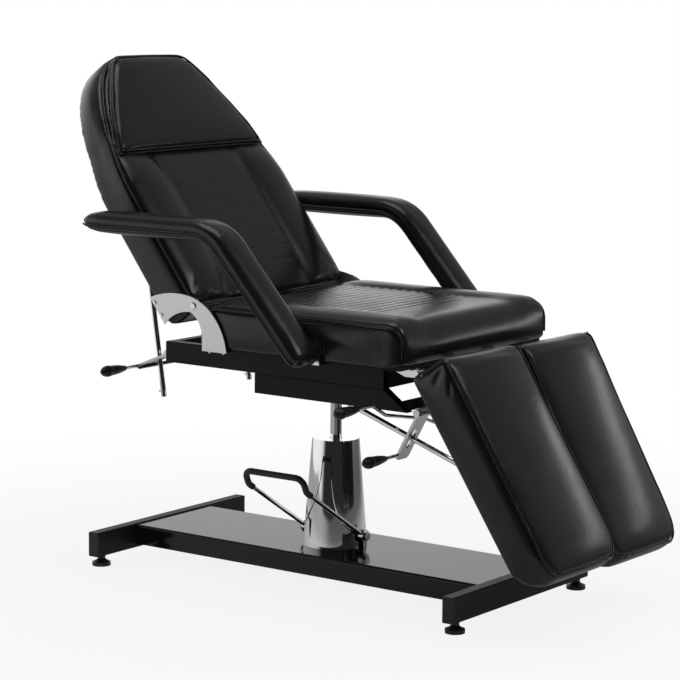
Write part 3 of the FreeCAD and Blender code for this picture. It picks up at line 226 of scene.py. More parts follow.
floor_finish, paint = new_finish("studio_floor")
spot = paint.node("ShaderNodeTexCoord", "Object")
away = paint.node("ShaderNodeVectorMath", "Value", {"operation": "LENGTH"}, {0: spot})
fade = ramp(away, *SHADOW_REACH, SHADOW_SHARE, 0.0)
seen = paint.node("ShaderNodeLightPath", "Is Camera Ray")
glossy = paint.node("ShaderNodeLightPath", "Is Glossy Ray")
depth = paint.node("ShaderNodeSeparateXYZ", "Y", None, {0: spot})
pale = ramp(depth, *FLOOR_DEPTH, FLOOR_FRONT, FLOOR_BACK)
pale = pale + ramp(away, *NEAR_REACH, 0.0, FLOOR_NEAR)
matt = paint.node("ShaderNodeBsdfDiffuse", 0, None, {"Color": FLOOR_GREY})
white = paint.node("ShaderNodeEmission", 0, None,
                   {"Color": (1, 1, 1, 1), "Strength": seen + pale * glossy})
mixed = paint.node("ShaderNodeMixShader", 0, None,
                   {0: (seen + glossy) * (1 - fade), 1: matt, 2: white})
paint.node("ShaderNodeOutputMaterial", 0, None, {"Surface": mixed})

sheet = bmesh.new()
bmesh.ops.create_grid(sheet, x_segments=1, y_segments=1, size=FLOOR_SIZE / 2)
floor = piece_from(sheet, "floor")
dress(floor, floor_finish)
print("floor", FLOOR_SIZE, "m square")

# %% [markdown]
# Black leather shows its shape only through reflections, so the lamps are soft boxes placed where
# the pads mirror them: one above the front for the bolsters, one overhead, and a narrow strip close
# to the picture's right for the streak on the left leg rest. The strip leans over so that it is
# parallel to the rest as seen in that mirror. A box's brightness is set as seen in a mirror and its
# power follows from its area. The camera doesn't see the boxes themselves.


# %% Lamps
def softbox(name, place, aim, width, height, brightness, lean=0.0):
    lamp = bpy.data.lights.new(name, "AREA")
    lamp.shape = "RECTANGLE"
    lamp.size = width
    lamp.size_y = height
    lamp.energy = brightness * math.pi * width * height
    holder = new_piece(name, lamp)
    holder.visible_camera = False
    turn = (Vector(place) - Vector(aim)).to_track_quat("Z", "Y").to_matrix().to_4x4()
    leaned = Matrix.Rotation(math.radians(lean), 4, "Z")
    holder.matrix_world = Matrix.Translation(place) @ turn @ leaned


softbox("front_box", (0.1, -2.3, 3.1), (0, 0.2, 0.8), 1.6, 1.2, 3.4)
softbox("right_strip", (1.16, -1.03, 0.63), (0.16, -0.65, 0.30), 0.06, 0.70, 6.5, -58)
softbox("overhead_box", (-0.2, 0.6, 4.2), (0, 0.1, 0.6), 2.4, 2.4, 1.8)

# %% [markdown]
# ## Finishes
# The upholstery is soft black synthetic leather: a fine pore pattern, a sheen that varies a little
# from place to place, and slow waves where the foam gives. The pores are a Voronoi pattern and the
# waves are noise, both on Object coordinates so that they stay put on a piece, and both only move
# the normal through Bump nodes. Numbers that are the same all over sit on the shader's own sockets.


# %% Leather
PORES = 650.0
PATCHES = 14.0
WAVES = 26.0


def bump(wire, height, strength, distance, under=None):
    sockets = {"Height": height, "Strength": strength, "Distance": distance}
    if under:
        sockets["Normal"] = under
    return wire.node("ShaderNodeBump", 0, None, sockets)


def blend_colour(wire, share, first, second):
    return wire.node("ShaderNodeMix", 2, {"data_type": "RGBA"},
                     {0: share, 6: (*first, 1), 7: (*second, 1)})


def shade(wire, sockets):
    surface = wire.node("ShaderNodeBsdfPrincipled", 0, None, sockets)
    wire.node("ShaderNodeOutputMaterial", 0, None, {"Surface": surface})


def noise(wire, scale, detail=2.0):
    place = wire.node("ShaderNodeTexCoord", "Object")
    return wire.node("ShaderNodeTexNoise", 0, None,
                     {"Vector": place, "Scale": scale, "Detail": detail})


def leather_finish(name, dark, light, roughness, wave):
    finish, hide = new_finish(name)
    place = hide.node("ShaderNodeTexCoord", "Object")
    pores = hide.node("ShaderNodeTexVoronoi", "Distance", {"feature": "DISTANCE_TO_EDGE"},
                      {"Vector": place, "Scale": PORES})
    patches = noise(hide, PATCHES)
    waves = bump(hide, noise(hide, WAVES, 1.0), wave, 0.004)
    shade(hide, {"Base Color": blend_colour(hide, patches, dark, light),
                 "Roughness": roughness - 0.06 + 0.12 * patches,
                 "Specular IOR Level": 0.45,
                 "Normal": bump(hide, pores, 0.06, 0.0006, waves)})
    return finish


LEATHER = leather_finish("leather", (0.006, 0.006, 0.007), (0.011, 0.011, 0.012), 0.25, 0.04)
# The piping's leather is darker than the pads' leather: painted shade, so the cord reads as a dark line along each
# seam.
PIPING_LEATHER_PAINTED_SHADE = leather_finish("piping_leather_painted_shade", (0.004, 0.004, 0.005), (0.008, 0.008, 0.009),
                                0.22, 0.0)
print("leather ready")

# %% [markdown]
# Stitches are black thread, a little lighter than the hide because its fibres scatter light.

# %% Thread
THREAD, twist = new_finish("thread")
fibres = noise(twist, 900.0)
shade(twist, {"Base Color": blend_colour(twist, fibres, (0.02, 0.02, 0.02), (0.06, 0.06, 0.06)),
              "Roughness": 0.55 + 0.2 * fibres, "Normal": bump(twist, fibres, 0.3, 0.0003)})
print("thread ready")

# %% [markdown]
# The tubes are powder coated satin black, with the faint orange-peel skin that such a coat has.
# The deck is the same black with a gloss coat, which is why it mirrors the white backdrop. Chrome
# is nearly a pure mirror; slow changes in roughness keep it from looking computed. The crescent
# brackets and lock plates are satin silver with fine brush lines, made by stretching noise.


# %% Metals
def powder_coat(name, tone, roughness, peel, gloss):
    finish, coatings = new_finish(name)
    grain = noise(coatings, 420.0)
    dust = noise(coatings, 9.0, 4.0)
    shade(coatings, {"Base Color": blend_colour(coatings, dust, [tone] * 3, [tone * 1.6] * 3),
                     "Roughness": roughness - 0.04 + 0.08 * dust,
                     "Specular IOR Level": gloss,
                     "Normal": bump(coatings, grain, peel, 0.0003)})
    return finish


def bare_metal(name, colour, roughness, spread, stretch):
    finish, metal = new_finish(name)
    place = metal.node("ShaderNodeTexCoord", "Object")
    brushed = metal.node("ShaderNodeMapping", 0, None, {"Vector": place, "Scale": stretch})
    lines = metal.node("ShaderNodeTexNoise", 0, None,
                       {"Vector": brushed, "Scale": 60.0, "Detail": 3.0})
    wear = noise(metal, 12.0, 3.0)
    shade(metal, {"Base Color": blend_colour(metal, wear, colour, [part * 0.94 for part in colour]),
                  "Metallic": 1.0,
                  "Roughness": roughness + spread * lines,
                  "Normal": bump(metal, lines, 0.02 + spread * 0.2, 0.0002)})
    return finish


FRAME_BLACK = powder_coat("satin_black_coat", 0.010, 0.42, 0.10, 0.16)
DECK_BLACK = powder_coat("gloss_black_coat", 0.006, 0.11, 0.01, 0.34)
CHROME = bare_metal("chrome", (0.88, 0.89, 0.91), 0.03, 0.03, (1, 1, 1))
SILVER = bare_metal("satin_silver", (0.80, 0.80, 0.81), 0.34, 0.10, (1, 14, 1))
ZINC = bare_metal("bright_zinc", (0.74, 0.75, 0.77), 0.16, 0.10, (1, 1, 1))
print("metals ready")

# %% [markdown]
# The grips, feet and tube caps are moulded plastic with a fine spark texture. The pedal's sleeve
# is duller rubber. The boards under the pads are lined with thin black felt, which is noise at two
# scales with no shine.


# %% Plastic, rubber, lining
def moulded(name, tone, roughness, scale, depth):
    finish, mould = new_finish(name)
    spark = noise(mould, scale, 3.0)
    rub = noise(mould, 18.0, 3.0)
    shade(mould, {"Base Color": blend_colour(mould, rub, [tone] * 3, [tone * 1.7] * 3),
                  "Roughness": roughness - 0.05 + 0.12 * rub, "Specular IOR Level": 0.4,
                  "Normal": bump(mould, spark, depth, 0.0003)})
    return finish


PLASTIC = moulded("black_plastic", 0.010, 0.34, 900.0, 0.12)
RUBBER = moulded("sleeve_rubber", 0.012, 0.52, 500.0, 0.20)
LINING = moulded("lining_felt", 0.014, 0.90, 260.0, 0.50)
SLOT_FINISH = {"leatherette": LEATHER, "frame_black": FRAME_BLACK, "chrome": CHROME,
               "satin_silver": SILVER, "zinc": ZINC, "black_plastic": PLASTIC, "rubber": RUBBER,
               "plywood": LINING}
print("finishes for", len(SLOT_FINISH), "slots")

# %% [markdown]
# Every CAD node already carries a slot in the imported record, so the record decides the finish. One
# node differs from its slot: the deck has a gloss coat over its black.

# %% Dress the CAD nodes
for row in frame["record"]["subparts"]:
    finish = DECK_BLACK if row["node"] == "base_deck" else SLOT_FINISH[row["material_slot"]]
    dress(frame["nodes"][row["node"]], finish)
print("dressed", len(frame["nodes"]), "nodes")

# %% [markdown]
# ## From CAD solid to stuffed pad
# A pad is foam in a sewn skin, so its shape comes from pressure against its seams. Each pad, apart
# from the arms, starts as a copy of its CAD solid, turned back into a frame of its own where it
# lies flat. There its seams are easy to write in millimetres. A voxel remesh gives the copy an even
# net of squares, which cloth needs. Then Blender's cloth blows it up a little while the seams and
# the underside are held.

# %% Soft copies
MM = 0.001
VOXEL = 0.0067
MERGE = 1e-5


def bake_modifiers(piece):
    """Work out the piece's modifiers and keep only their result."""
    done = piece.evaluated_get(bpy.context.evaluated_depsgraph_get())
    mesh = bpy.data.meshes.new_from_object(done)
    piece.modifiers.clear()
    piece.data = mesh


def even_net(piece, size):
    """Remesh a piece into squares of about one size."""
    even = piece.modifiers.new("even", "REMESH")
    even.mode = "VOXEL"
    even.voxel_size = size
    bake_modifiers(piece)


def points(pad):
    spots = np.empty(len(pad.data.vertices) * 3, np.float32)
    pad.data.vertices.foreach_get("co", spots)
    return spots.reshape(-1, 3)


def normals(pad):
    ways = np.empty(len(pad.data.vertices) * 3, np.float32)
    pad.data.vertices.foreach_get("normal", ways)
    return ways.reshape(-1, 3)


def set_points(pad, spots):
    pad.data.vertices.foreach_set("co", np.ascontiguousarray(spots, np.float32).ravel())
    pad.data.update()


def relax(pad, rounds, chosen=slice(None)):
    """Smooth the chosen points, or all, by drawing them towards their neighbours."""
    ends = np.empty(len(pad.data.edges) * 2, np.int32)
    pad.data.edges.foreach_get("vertices", ends)
    first, second = ends.reshape(-1, 2).T
    spots = points(pad).astype(float)
    count = np.bincount(ends, minlength=len(spots))[:, None]
    for _ in range(rounds):
        total = np.zeros_like(spots)
        np.add.at(total, first, spots[second])
        np.add.at(total, second, spots[first])
        spots[chosen] += 0.5 * (total / count - spots)[chosen]
    set_points(pad, spots)


def soft_copy(name, node, place):
    """A merged and evenly remeshed copy of a CAD pad, in the frame where it lies flat."""
    shell = bmesh.new()
    shell.from_mesh(frame["nodes"][node].data)
    bmesh.ops.remove_doubles(shell, verts=shell.verts, dist=MERGE)
    bmesh.ops.transform(shell, matrix=place.inverted(), verts=shell.verts)
    pad = piece_from(shell, name)
    even_net(pad, VOXEL)
    relax(pad, 5)
    return pad


print("soft copies have squares of", VOXEL / MM, "mm")

# %% [markdown]
# A seam is a run of straight lines through a few corners. Points every 3 mm along it are enough to
# ask, for each point of the pad, how far away the seam is and how far along it the nearest place
# lies. The first drives dents and the second drives gathers. The skin right at a seam is held while
# the rest is blown up.

# %% Seam lines
STEP = 0.003
SEARCH = 0.02
HOLD = 0.008


def run(corners, closed=False):
    """Points every few millimetres along straight lines through corners given in millimetres."""
    ends = [Vector(corner) * MM for corner in corners]
    if closed:
        ends.append(ends[0])
    dense = []
    for start, end in zip(ends, ends[1:]):
        count = max(1, round((end - start).length / STEP))
        dense += [start.lerp(end, k / count) for k in range(count)]
    return dense if closed else dense + [ends[-1]]


def near(pad, line, reach):
    """Each point's distance from a line, infinity past the reach, and its place along the line."""
    tree = KDTree(len(line))
    for index, spot in enumerate(line):
        tree.insert(spot, index)
    tree.balance()
    spots = points(pad)
    box = np.array(line)
    close = np.all((spots > box.min(0) - reach) & (spots < box.max(0) + reach), axis=1)
    gap = np.full(len(spots), np.inf)
    along = np.zeros(len(spots))
    for index in np.flatnonzero(close):
        _, found, gap[index] = tree.find(spots[index])
        along[index] = found * STEP
    return gap, along


def on_seam(pad, lines, hold=HOLD):
    """Which points lie right at one of the seams."""
    return np.any([near(pad, line, SEARCH)[0] < hold for line in lines], axis=0)


print("seams are followed in steps of", STEP / MM, "mm")

# %% [markdown]
# The cloth is run for 20 frames with pressure inside and no gravity. Held points are pinned by a
# vertex group. How far a point may move is eased towards a cap, because a hard cap would leave a
# ridge where it starts. Then the net is subdivided once and smoothed lightly.

# %% Stuffing
FRAMES = 20
PRESSURE = 4.0


def swell(pad, held, cap):
    """Blow a pad up between its held points; the others may move by about the cap."""
    start = points(pad)
    pins = pad.vertex_groups.new(name="held")
    pins.add(np.flatnonzero(held).tolist(), 1.0, "REPLACE")
    stuffing = pad.modifiers.new("stuffing", "CLOTH")
    stuffing.settings.use_pressure = True
    stuffing.settings.uniform_pressure_force = PRESSURE
    stuffing.settings.effector_weights.gravity = 0
    stuffing.settings.vertex_group_mass = "held"
    stuffing.point_cache.frame_end = FRAMES
    for number in range(1, FRAMES + 1):
        SCENE.frame_set(number)
    bake_modifiers(pad)
    pad.vertex_groups.clear()
    SCENE.frame_set(1)
    move = points(pad) - start
    far = np.maximum(np.linalg.norm(move, axis=1, keepdims=True), 1e-9)
    print(pad.name, "swelled by up to", round(float(far.max()) / MM, 1), "mm")
    set_points(pad, start + move * (cap * np.tanh(far / cap) / far))
    finer = pad.modifiers.new("finer", "SUBSURF")
    finer.levels = finer.render_levels = 1
    bake_modifiers(pad)
    relax(pad, 4)


def keep_width(pad, middle, half):
    """Keep a pad within its width, given in millimetres, so that it clears its neighbours."""
    spots = points(pad)
    spots[:, 0] = np.clip(spots[:, 0], (middle - half) * MM, (middle + half) * MM)
    set_points(pad, spots)


print("cloth runs for", FRAMES, "frames")

# %% [markdown]
# After the cloth come the dents: a seam pulls the skin down along its line, a sewn channel does so
# more softly, and a gather is a row of small pleats beside a seam. All three push points along
# their normals by a bell curve of their distance from a line, times a wave along it for gathers.
# A crease is one short stroke of the same kind; a negative depth makes it a raised fold.

# %% Dents, gathers and creases
HEM_FADE = 60
GATHER_FADE = 20


def press(pad, line, depth, width, wave=None):
    """Push the skin in by depth (mm) within about width (mm) of a line."""
    gap, along = near(pad, line, 3 * width * MM)
    share = np.exp(-np.square(gap / (width * MM)))
    if wave:
        share *= wave(along)
    set_points(pad, points(pad) - normals(pad) * (depth * MM * share)[:, None])


def hump(length, least=0.0):
    """A wave that rises and falls once over a length (m); a least share keeps its ends above 0."""
    return lambda along: np.sin(np.pi * np.clip(along / length, least, 1 - least))


def ease_out(length):
    """A wave that fades over the last stretch of a length (mm)."""
    return lambda along: np.clip((length - along / MM) / HEM_FADE, 0, 1)


def gathers(first, last, pitch):
    """A wave for small pleats between two places along a seam, in millimetres."""
    def wave(along):
        place = along / MM
        start = np.clip((place - first) / GATHER_FADE, 0, 1)
        end = np.clip((last - place) / GATHER_FADE, 0, 1)
        return start * end * (0.5 + 0.5 * np.cos(2 * np.pi * place / pitch))
    return wave


def crease(pad, start, end, depth, width):
    """One fold that fades out at both of its ends."""
    line = run([start, end])
    press(pad, line, depth, width, hump(len(line) * STEP, 0.02))


print("dents fade over", HEM_FADE, "and", GATHER_FADE, "mm")

# %% [markdown]
# Piping is a cord sewn into the seam under a strip of the same leather. Here it is drawn with a darker
# leather than the pads', as painted shade. Its line is laid on the stuffed pad by moving each point
# of the seam to the nearest place on the skin, and evened out with a short running mean. A curve
# with a round bevel follows it and becomes a mesh. The skin is first rounded off towards the seam,
# and pulled in under the cord once that is laid, so the cord stands proud in its groove and shows
# as a dark line with a glint; the darker colour of the cord adds painted shade to that line.
# Stitches are short lengths of thread on such a line, all in one curve, a few faces each.

# %% Piping and stitches
PIPING_RADIUS = 2.8
PIPING_LIFT = 0.3
SEAM_DEPTH = 5.0
SEAM_WIDTH = 6.0
ROUND_DEPTH = 3.5
ROUND_WIDTH = 20.0
THREAD_RADIUS = 0.5
THREAD_LIFT = 0.2
STITCH = 5.0
STITCH_GAP = 3.0
MEAN_REACH = 4


def laid(pad, line, closed=False, lift=PIPING_LIFT):
    """A seam line moved onto the pad's skin, and lifted off it by a few tenths of a millimetre."""
    skin = BVHTree.FromPolygons([spot.co for spot in pad.data.vertices],
                                [tuple(face.vertices) for face in pad.data.polygons])
    found = [skin.find_nearest(spot) for spot in line]
    spots = np.array([hit[0] + hit[1] * lift * MM for hit in found])
    longer = np.pad(spots, ((MEAN_REACH, MEAN_REACH), (0, 0)), mode="wrap" if closed else "edge")
    count = 2 * MEAN_REACH + 1
    return sum(longer[k:k + len(spots)] for k in range(count)) / count


def smooth(piece):
    piece.data.polygons.foreach_set("use_smooth", [True] * len(piece.data.polygons))


def thread_curve(name, radius, lines, finish, closed=False):
    """Tubes of one radius along one or more lines, as one mesh."""
    curve = bpy.data.curves.new(name, "CURVE")
    curve.dimensions = "3D"
    curve.bevel_depth = radius * MM
    curve.bevel_resolution = 2 if radius > 1 else 0
    curve.use_fill_caps = True
    for line in lines:
        spline = curve.splines.new("POLY")
        spline.points.add(len(line) - 1)
        spline.points.foreach_set("co", np.column_stack([line, np.ones(len(line))]).ravel())
        spline.use_cyclic_u = closed
    holder = new_piece(name, curve)
    done = holder.evaluated_get(bpy.context.evaluated_depsgraph_get())
    mesh = bpy.data.meshes.new_from_object(done)
    bpy.data.objects.remove(holder)
    piece = new_piece(name, mesh)
    dress(piece, finish)
    smooth(piece)
    return piece


def piped(name, pad, lines, closed=False, radius=PIPING_RADIUS):
    """Round the pad towards its seams, lay cords on them, then pull the seams in under them."""
    for line in lines:
        press(pad, line, ROUND_DEPTH, ROUND_WIDTH)
    cords = [laid(pad, line, closed) for line in lines]
    # The cords get the darker piping leather: painted shade along the seams.
    piece = thread_curve(name, radius, cords, PIPING_LEATHER_PAINTED_SHADE, closed)
    for cord in cords:
        press(pad, [Vector(spot) for spot in cord], SEAM_DEPTH, SEAM_WIDTH)
    return piece


def stitched(name, pad, line, closed=False):
    """Stitches with gaps between them, on a line laid on the pad."""
    path = laid(pad, line, closed, THREAD_LIFT)
    lengths = np.concatenate([[0], np.cumsum(np.linalg.norm(np.diff(path, axis=0), axis=1))])
    starts = np.arange(0, lengths[-1] - STITCH * MM, (STITCH + STITCH_GAP) * MM)
    stitches = []
    for start in starts:
        ends = start + np.array([0, STITCH * MM])
        stitches.append(np.column_stack([np.interp(ends, lengths, part) for part in path.T]))
    return thread_curve(name, THREAD_RADIUS, stitches, THREAD)


print("piping is", 2 * PIPING_RADIUS, "mm thick, stitches are", STITCH, "mm long")

# %% [markdown]
# A finished pad, its piping and its stitches go from their flat frame to their place on the chair,
# and ride on the body that carries them.


def fit_piece(piece, place, body):
    piece.data.transform(place)
    piece.data.update()
    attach(piece, body)


def fit_pad(pad, place, body, node):
    dress(pad, LEATHER)
    smooth(pad)
    fit_piece(pad, place, body)
    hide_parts(node)
    print(pad.name, len(pad.data.polygons), "faces on", body)


# %% [markdown]
# ## The seat
# The seat is a flat box cushion with a rolled front. A quilted panel runs down its middle between
# two plain bolsters, sewn in fourteen shallow channels. The panel ends before the roll, which is
# one smooth sweep. Piping runs along both side edges, over the roll and down the front corners,
# where the side panels are gathered into it. The skin is stapled to the board below, and the
# stitching holds the panel, so the cloth is held in both places.

# %% Seat
SEAT = Matrix.Translation((0, JOINTS["swivel"].y, 0))
SEAT_PANEL = 190
SEAT_RIBS = [-241 + 27 * k for k in range(14)]
SEAT_ROLL = [0, 0.3, 0.55, 0.75, 0.9, 0.97]
SEAT_HEM = 490
SEAT_SWELL = 0.010
SEAT_SMOOTH = 0.272
SEAT_SMOOTH_FROM = 0.600
SEAT_BOARD = 0.580
SEAT_FACE = 0.655
SEAT_FLAT = 0.188
RIB_INSET = 6


def seat_edge(side):
    """The piped edge: up the rear corner, along the side, over the roll and down the front."""
    rear = [(298, 176, 580), (298, 176, 655), (300.5, 162, 661), (303, 116, 667)]
    rolled = [(303 - 3 * t, -398 + 40 * (1 - t), 627 + 40 * math.sqrt(1 - t * t))
              for t in SEAT_ROLL]
    return run([(side * x, y, z) for x, y, z in rear + rolled + [(300, -397.5, 592)]])


def quilt(pad, places, half, level, depth, width):
    """Press a panel's sewn channels, each a line across it that ends just inside the hems."""
    for place in places:
        channel = run([(RIB_INSET - half, place, level), (half - RIB_INSET, place, level)])
        press(pad, channel, depth, width)


seat = soft_copy("seat_cushion", "seat_pad", SEAT)
spots = points(seat)
across, up = np.abs(spots[:, 0]), spots[:, 2]
relax(seat, 24, (across < SEAT_SMOOTH) & (up > SEAT_SMOOTH_FROM))
seat_edges = [seat_edge(-1), seat_edge(1)]
held = (up < SEAT_BOARD) | ((across < SEAT_FLAT) & (up > SEAT_FACE)) | on_seam(seat, seat_edges)
swell(seat, held, SEAT_SWELL)

seat_piping = piped("seat_piping", seat, seat_edges)
for side in (-1, 1):
    hem = run([(side * SEAT_PANEL, 160, 668), (side * SEAT_PANEL, -330, 672)])
    press(seat, hem, 2.0, 16.0, ease_out(SEAT_HEM))
    press(seat, hem, 1.0, 4.0, ease_out(SEAT_HEM))
    corner = run([(side * 304, -385, 640), (side * 304, -385, 585)])
    press(seat, corner, 2.2, 8.0, gathers(0, 60, 13))
    flank = run([(side * 303, -340, 620), (side * 303, -20, 620)])
    press(seat, flank, -6.0, 26.0, hump(0.32))
quilt(seat, SEAT_RIBS, SEAT_PANEL, 673, 1.4, 3.5)
fit_pad(seat, SEAT, "seat_frame", "seat_pad")
fit_piece(seat_piping, SEAT, "seat_frame")

# %% [markdown]
# ## The back
# The back is the same kind of cushion, tapering to a rounded top. Its piping goes all the way round
# the front face. The quilted panel goes on under the pillow. The sides bulge behind the head, where
# the cushion is narrow and full, and the skin folds at the lower ends of the bolsters, where the
# back presses on the seat.

# %% Back
BACK_TILT = 52.8
BACK = Matrix.Translation(JOINTS["back_recline"]) @ Matrix.Rotation(math.radians(BACK_TILT), 4, "X")
BACK_PANEL = 153
BACK_RIBS = [88 + 37 * k for k in range(8)]
BACK_SWELL = 0.010
BACK_SMOOTH = 0.262
BACK_SMOOTH_FROM = 0.03
BACK_SMOOTH_OVER = -0.02
BACK_BOARD = -0.088
BACK_FACE = -0.03
BACK_FLAT = 0.152
BACK_COVERED = 0.405


def back_half(along):
    """Half width of the back: straight up to the shoulder, then tapering to the crown."""
    share = max(0.0, along - 340) / 385
    return 300 * (1 - share ** 1.3) ** 0.42


side_edge = [(back_half(s), s, -4) for s in list(range(20, 700, 20)) + [706]]
side_edge = [(294.6, 2, -13), (299, 12, -6)] + side_edge + [(back_half(714) - 5.4, 714, -13)]
back_edge = run(side_edge + [(-x, s, z) for x, s, z in reversed(side_edge)], closed=True)
FOLDS = [((288, 34, -4), (214, 82, 6), 2.6, 8), ((284, 16, -8), (220, 30, 4), 2.4, 7),
         ((236, 4, -10), (210, 62, 6), 2.2, 8), ((276, 52, 0), (226, 120, 8), -1.8, 10),
         ((262, 6, -8), (216, 44, 6), -2.2, 8)]

back = soft_copy("back_cushion", "back_pad", BACK)
spots = points(back)
across, along, up = np.abs(spots[:, 0]), spots[:, 1], spots[:, 2]
relax(back, 16, (across < BACK_SMOOTH) & (up > BACK_SMOOTH_OVER) & (along > BACK_SMOOTH_FROM))
held = (up < BACK_BOARD) | (((across < BACK_FLAT) | (along > BACK_COVERED)) & (up > BACK_FACE))
held |= on_seam(back, [back_edge])
swell(back, held, BACK_SWELL)

for side in (-1, 1):
    bulge = run([(side * (back_half(s) + 2), s, -52) for s in range(470, 690, 20)])
    press(back, bulge, -14.0, 44.0, hump(0.3))
back_piping = piped("back_piping", back, [back_edge], True)
for side in (-1, 1):
    hem = run([(side * BACK_PANEL, 10, 0), (side * BACK_PANEL, 500, 2)])
    press(back, hem, 3.0, 18.0)
    press(back, hem, 0.8, 4.0)
    for start, end, depth, width in FOLDS:
        crease(back, (side * start[0], *start[1:]), (side * end[0], *end[1:]), depth, width)
quilt(back, BACK_RIBS, BACK_PANEL, 4, 1.1, 3.0)
relax(back, 1)
fit_pad(back, BACK, "back", "back_pad")
fit_piece(back_piping, BACK, "back")

# %% [markdown]
# ## The pillow
# The head pillow is a wedge: thin and wide at its lower edge, thick and narrow at the top. A piped
# seam joins its face to a gusset that is gathered a little at the sides. Its lower edge isn't held
# against the cloth's pressure, so it rolls over the seam. The cover is larger than the foam, most
# of all at the lower edge, which sinks a little into the back. Its upper corners are rounded.

# %% Pillow
PILLOW_LOW = 424
PILLOW_LENGTH = 258
PILLOW_TOP = (PILLOW_LOW + PILLOW_LENGTH) * MM
PILLOW_FREE = 0.450
PILLOW_UNDERSIDE = 0.001
PILLOW_SWELL = 0.012
PILLOW_LONGER = 1.08
PILLOW_WIDER = 1.025
PILLOW_SPREAD = 0.1
PILLOW_SINK = 0.008
PILLOW_RAISED = 0.006
PILLOW_CORNER = 0.12


def corner_share(share):
    """How the cover narrows in the last tenth of its length, which rounds its upper corners."""
    edge = np.clip(share * 10 - 9, 0, 1)
    return 1 - PILLOW_CORNER * (1 - np.sqrt(1 - edge * edge))


def pillow_side(share):
    """Half width and height of the pillow's front seam at a share of its length."""
    edge = max(abs(2 * share - 1) - 0.8, 0) / 0.2
    half = (524 - 262 * share) / 2 + 16 * math.sin(math.pi * share) - 9 * edge * edge
    return half * corner_share(share), 11 + 13 * share - 3 * edge


def pillow_rim(inset):
    """The seam round the pillow's face, or a line inside it by an inset in millimetres."""
    right_side = []
    for k in range(21):
        share = (inset + (PILLOW_LENGTH - 2 * inset) * k / 20) / PILLOW_LENGTH
        half, level = pillow_side(share)
        right_side.append((half - inset, PILLOW_LOW + PILLOW_LENGTH * share, level + inset * 0.3))
    return run(right_side + [(-x, s, z) for x, s, z in reversed(right_side)], closed=True)


def cover_width(along):
    """How much wider the cover is than the foam; most at the lower edge."""
    return PILLOW_WIDER + PILLOW_SPREAD * (PILLOW_TOP - along)


def on_cover(line):
    """A line of the foam, spread out to the cover's width."""
    return [Vector((spot.x * cover_width(spot.y), spot.y, spot.z)) for spot in line]


pillow = soft_copy("head_pillow", "pillow", BACK)
spots = points(pillow)
spots[:, 0] *= corner_share((spots[:, 1] / MM - PILLOW_LOW) / PILLOW_LENGTH)
set_points(pillow, spots)
pillow_edge = pillow_rim(0)
held = on_seam(pillow, [pillow_edge]) & (spots[:, 1] > PILLOW_FREE)
swell(pillow, held | (spots[:, 2] < PILLOW_UNDERSIDE), PILLOW_SWELL)
spots = points(pillow)
below = PILLOW_TOP - spots[:, 1]
spots[:, 0] *= cover_width(spots[:, 1])
spots[:, 1] = PILLOW_TOP + PILLOW_RAISED - below * PILLOW_LONGER
spots[:, 2] -= below * PILLOW_SINK
set_points(pillow, spots)
pillow_piping = piped("pillow_piping", pillow, [on_cover(pillow_edge)], True)
for side in (-1, 1):
    gusset = []
    for tenth in range(1, 9):
        half, level = pillow_side(tenth / 10)
        gusset.append((side * (half + 9), PILLOW_LOW + PILLOW_LENGTH * tenth / 10, level - 10))
    gusset = on_cover(run(gusset))
    press(pillow, gusset, -2.5, 8.0)
    press(pillow, gusset, 2.0, 9.0, gathers(10, 170, 21))
relax(pillow, 3)
pillow_thread = stitched("pillow_stitches", pillow, on_cover(pillow_rim(9)), True)
fit_pad(pillow, BACK, "back", "pillow")
fit_piece(pillow_piping, BACK, "back")
fit_piece(pillow_thread, BACK, "back")

# %% [markdown]
# ## The leg rests
# The two leg rests are mirror images, so the cloth is run once and the result is mirrored. The face
# rolls over the top end, and a gusset goes round the sides and the foot. Piping joins the two: up
# the rear of one side, over the roll, round the rounded lower corners and back. The gusset is
# pleated where it turns the upper corner. The left one hangs a few degrees lower than the right
# one, as in the photograph.

# %% Leg rest
LEG_X = 155
LEG_HALF = 150
LEG_LIMIT = 152
LEG_TILTS = {"right": 56.5, "left": 59.8}
LEG_TOP = -8
LEG_FACE = 122
LEG_BOARD = 0.022
LEG_SWELL = 0.012
TOP_ROLL = 30
PLEATS = [((-16, 96), (-22, 48), 3.0, 6), ((-26, 108), (-58, 62), 3.4, 7),
          ((-44, 116), (-96, 88), 2.6, 6), ((-20, 104), (-40, 54), -2.4, 7)]


def leg_place(side):
    tilt = Matrix.Rotation(math.radians(LEG_TILTS[side]), 4, "X")
    return Matrix.Translation(JOINTS[side + "_leg_swing"]) @ tilt


def leg_side(a):
    """Half width, distance from the hinge and height of the front seam."""
    corner = max(0.0, a - 478) / 64
    half = LEG_HALF - 58 * (1 - math.sqrt(1 - corner * corner))
    return half, LEG_TOP - a, LEG_FACE - 11 * a / 536 - 6 * corner


def leg_rim(inset):
    """The piped seam from the rear of one side round the foot to the rear of the other side."""
    one_side = [(LEG_HALF, LEG_TOP, 44)]
    for turn in range(0, 91, 15):
        out, over = math.cos(math.radians(turn)), math.sin(math.radians(turn))
        one_side.append((LEG_HALF, LEG_TOP - TOP_ROLL * (1 - out),
                         LEG_FACE - TOP_ROLL * (1 - over)))
    one_side += [leg_side(40 + (496 - inset) * k / 60) for k in range(61)]
    one_side = [(half - inset, y, z + inset * 0.3) for half, y, z in one_side]
    return run([(LEG_X + half, y, z) for half, y, z in one_side]
               + [(LEG_X - half, y, z) for half, y, z in reversed(one_side)])


def roll_top(pad):
    """Round the end where the face goes over the top."""
    spots = points(pad)
    axis = np.array([LEG_TOP - TOP_ROLL, LEG_FACE - TOP_ROLL]) * MM
    arm = spots[:, 1:] - axis
    far = np.linalg.norm(arm, axis=1)
    outside = (arm > 0).all(1) & (far > TOP_ROLL * MM)
    spots[outside, 1:] = axis + arm[outside] * (TOP_ROLL * MM / far[outside])[:, None]
    set_points(pad, spots)


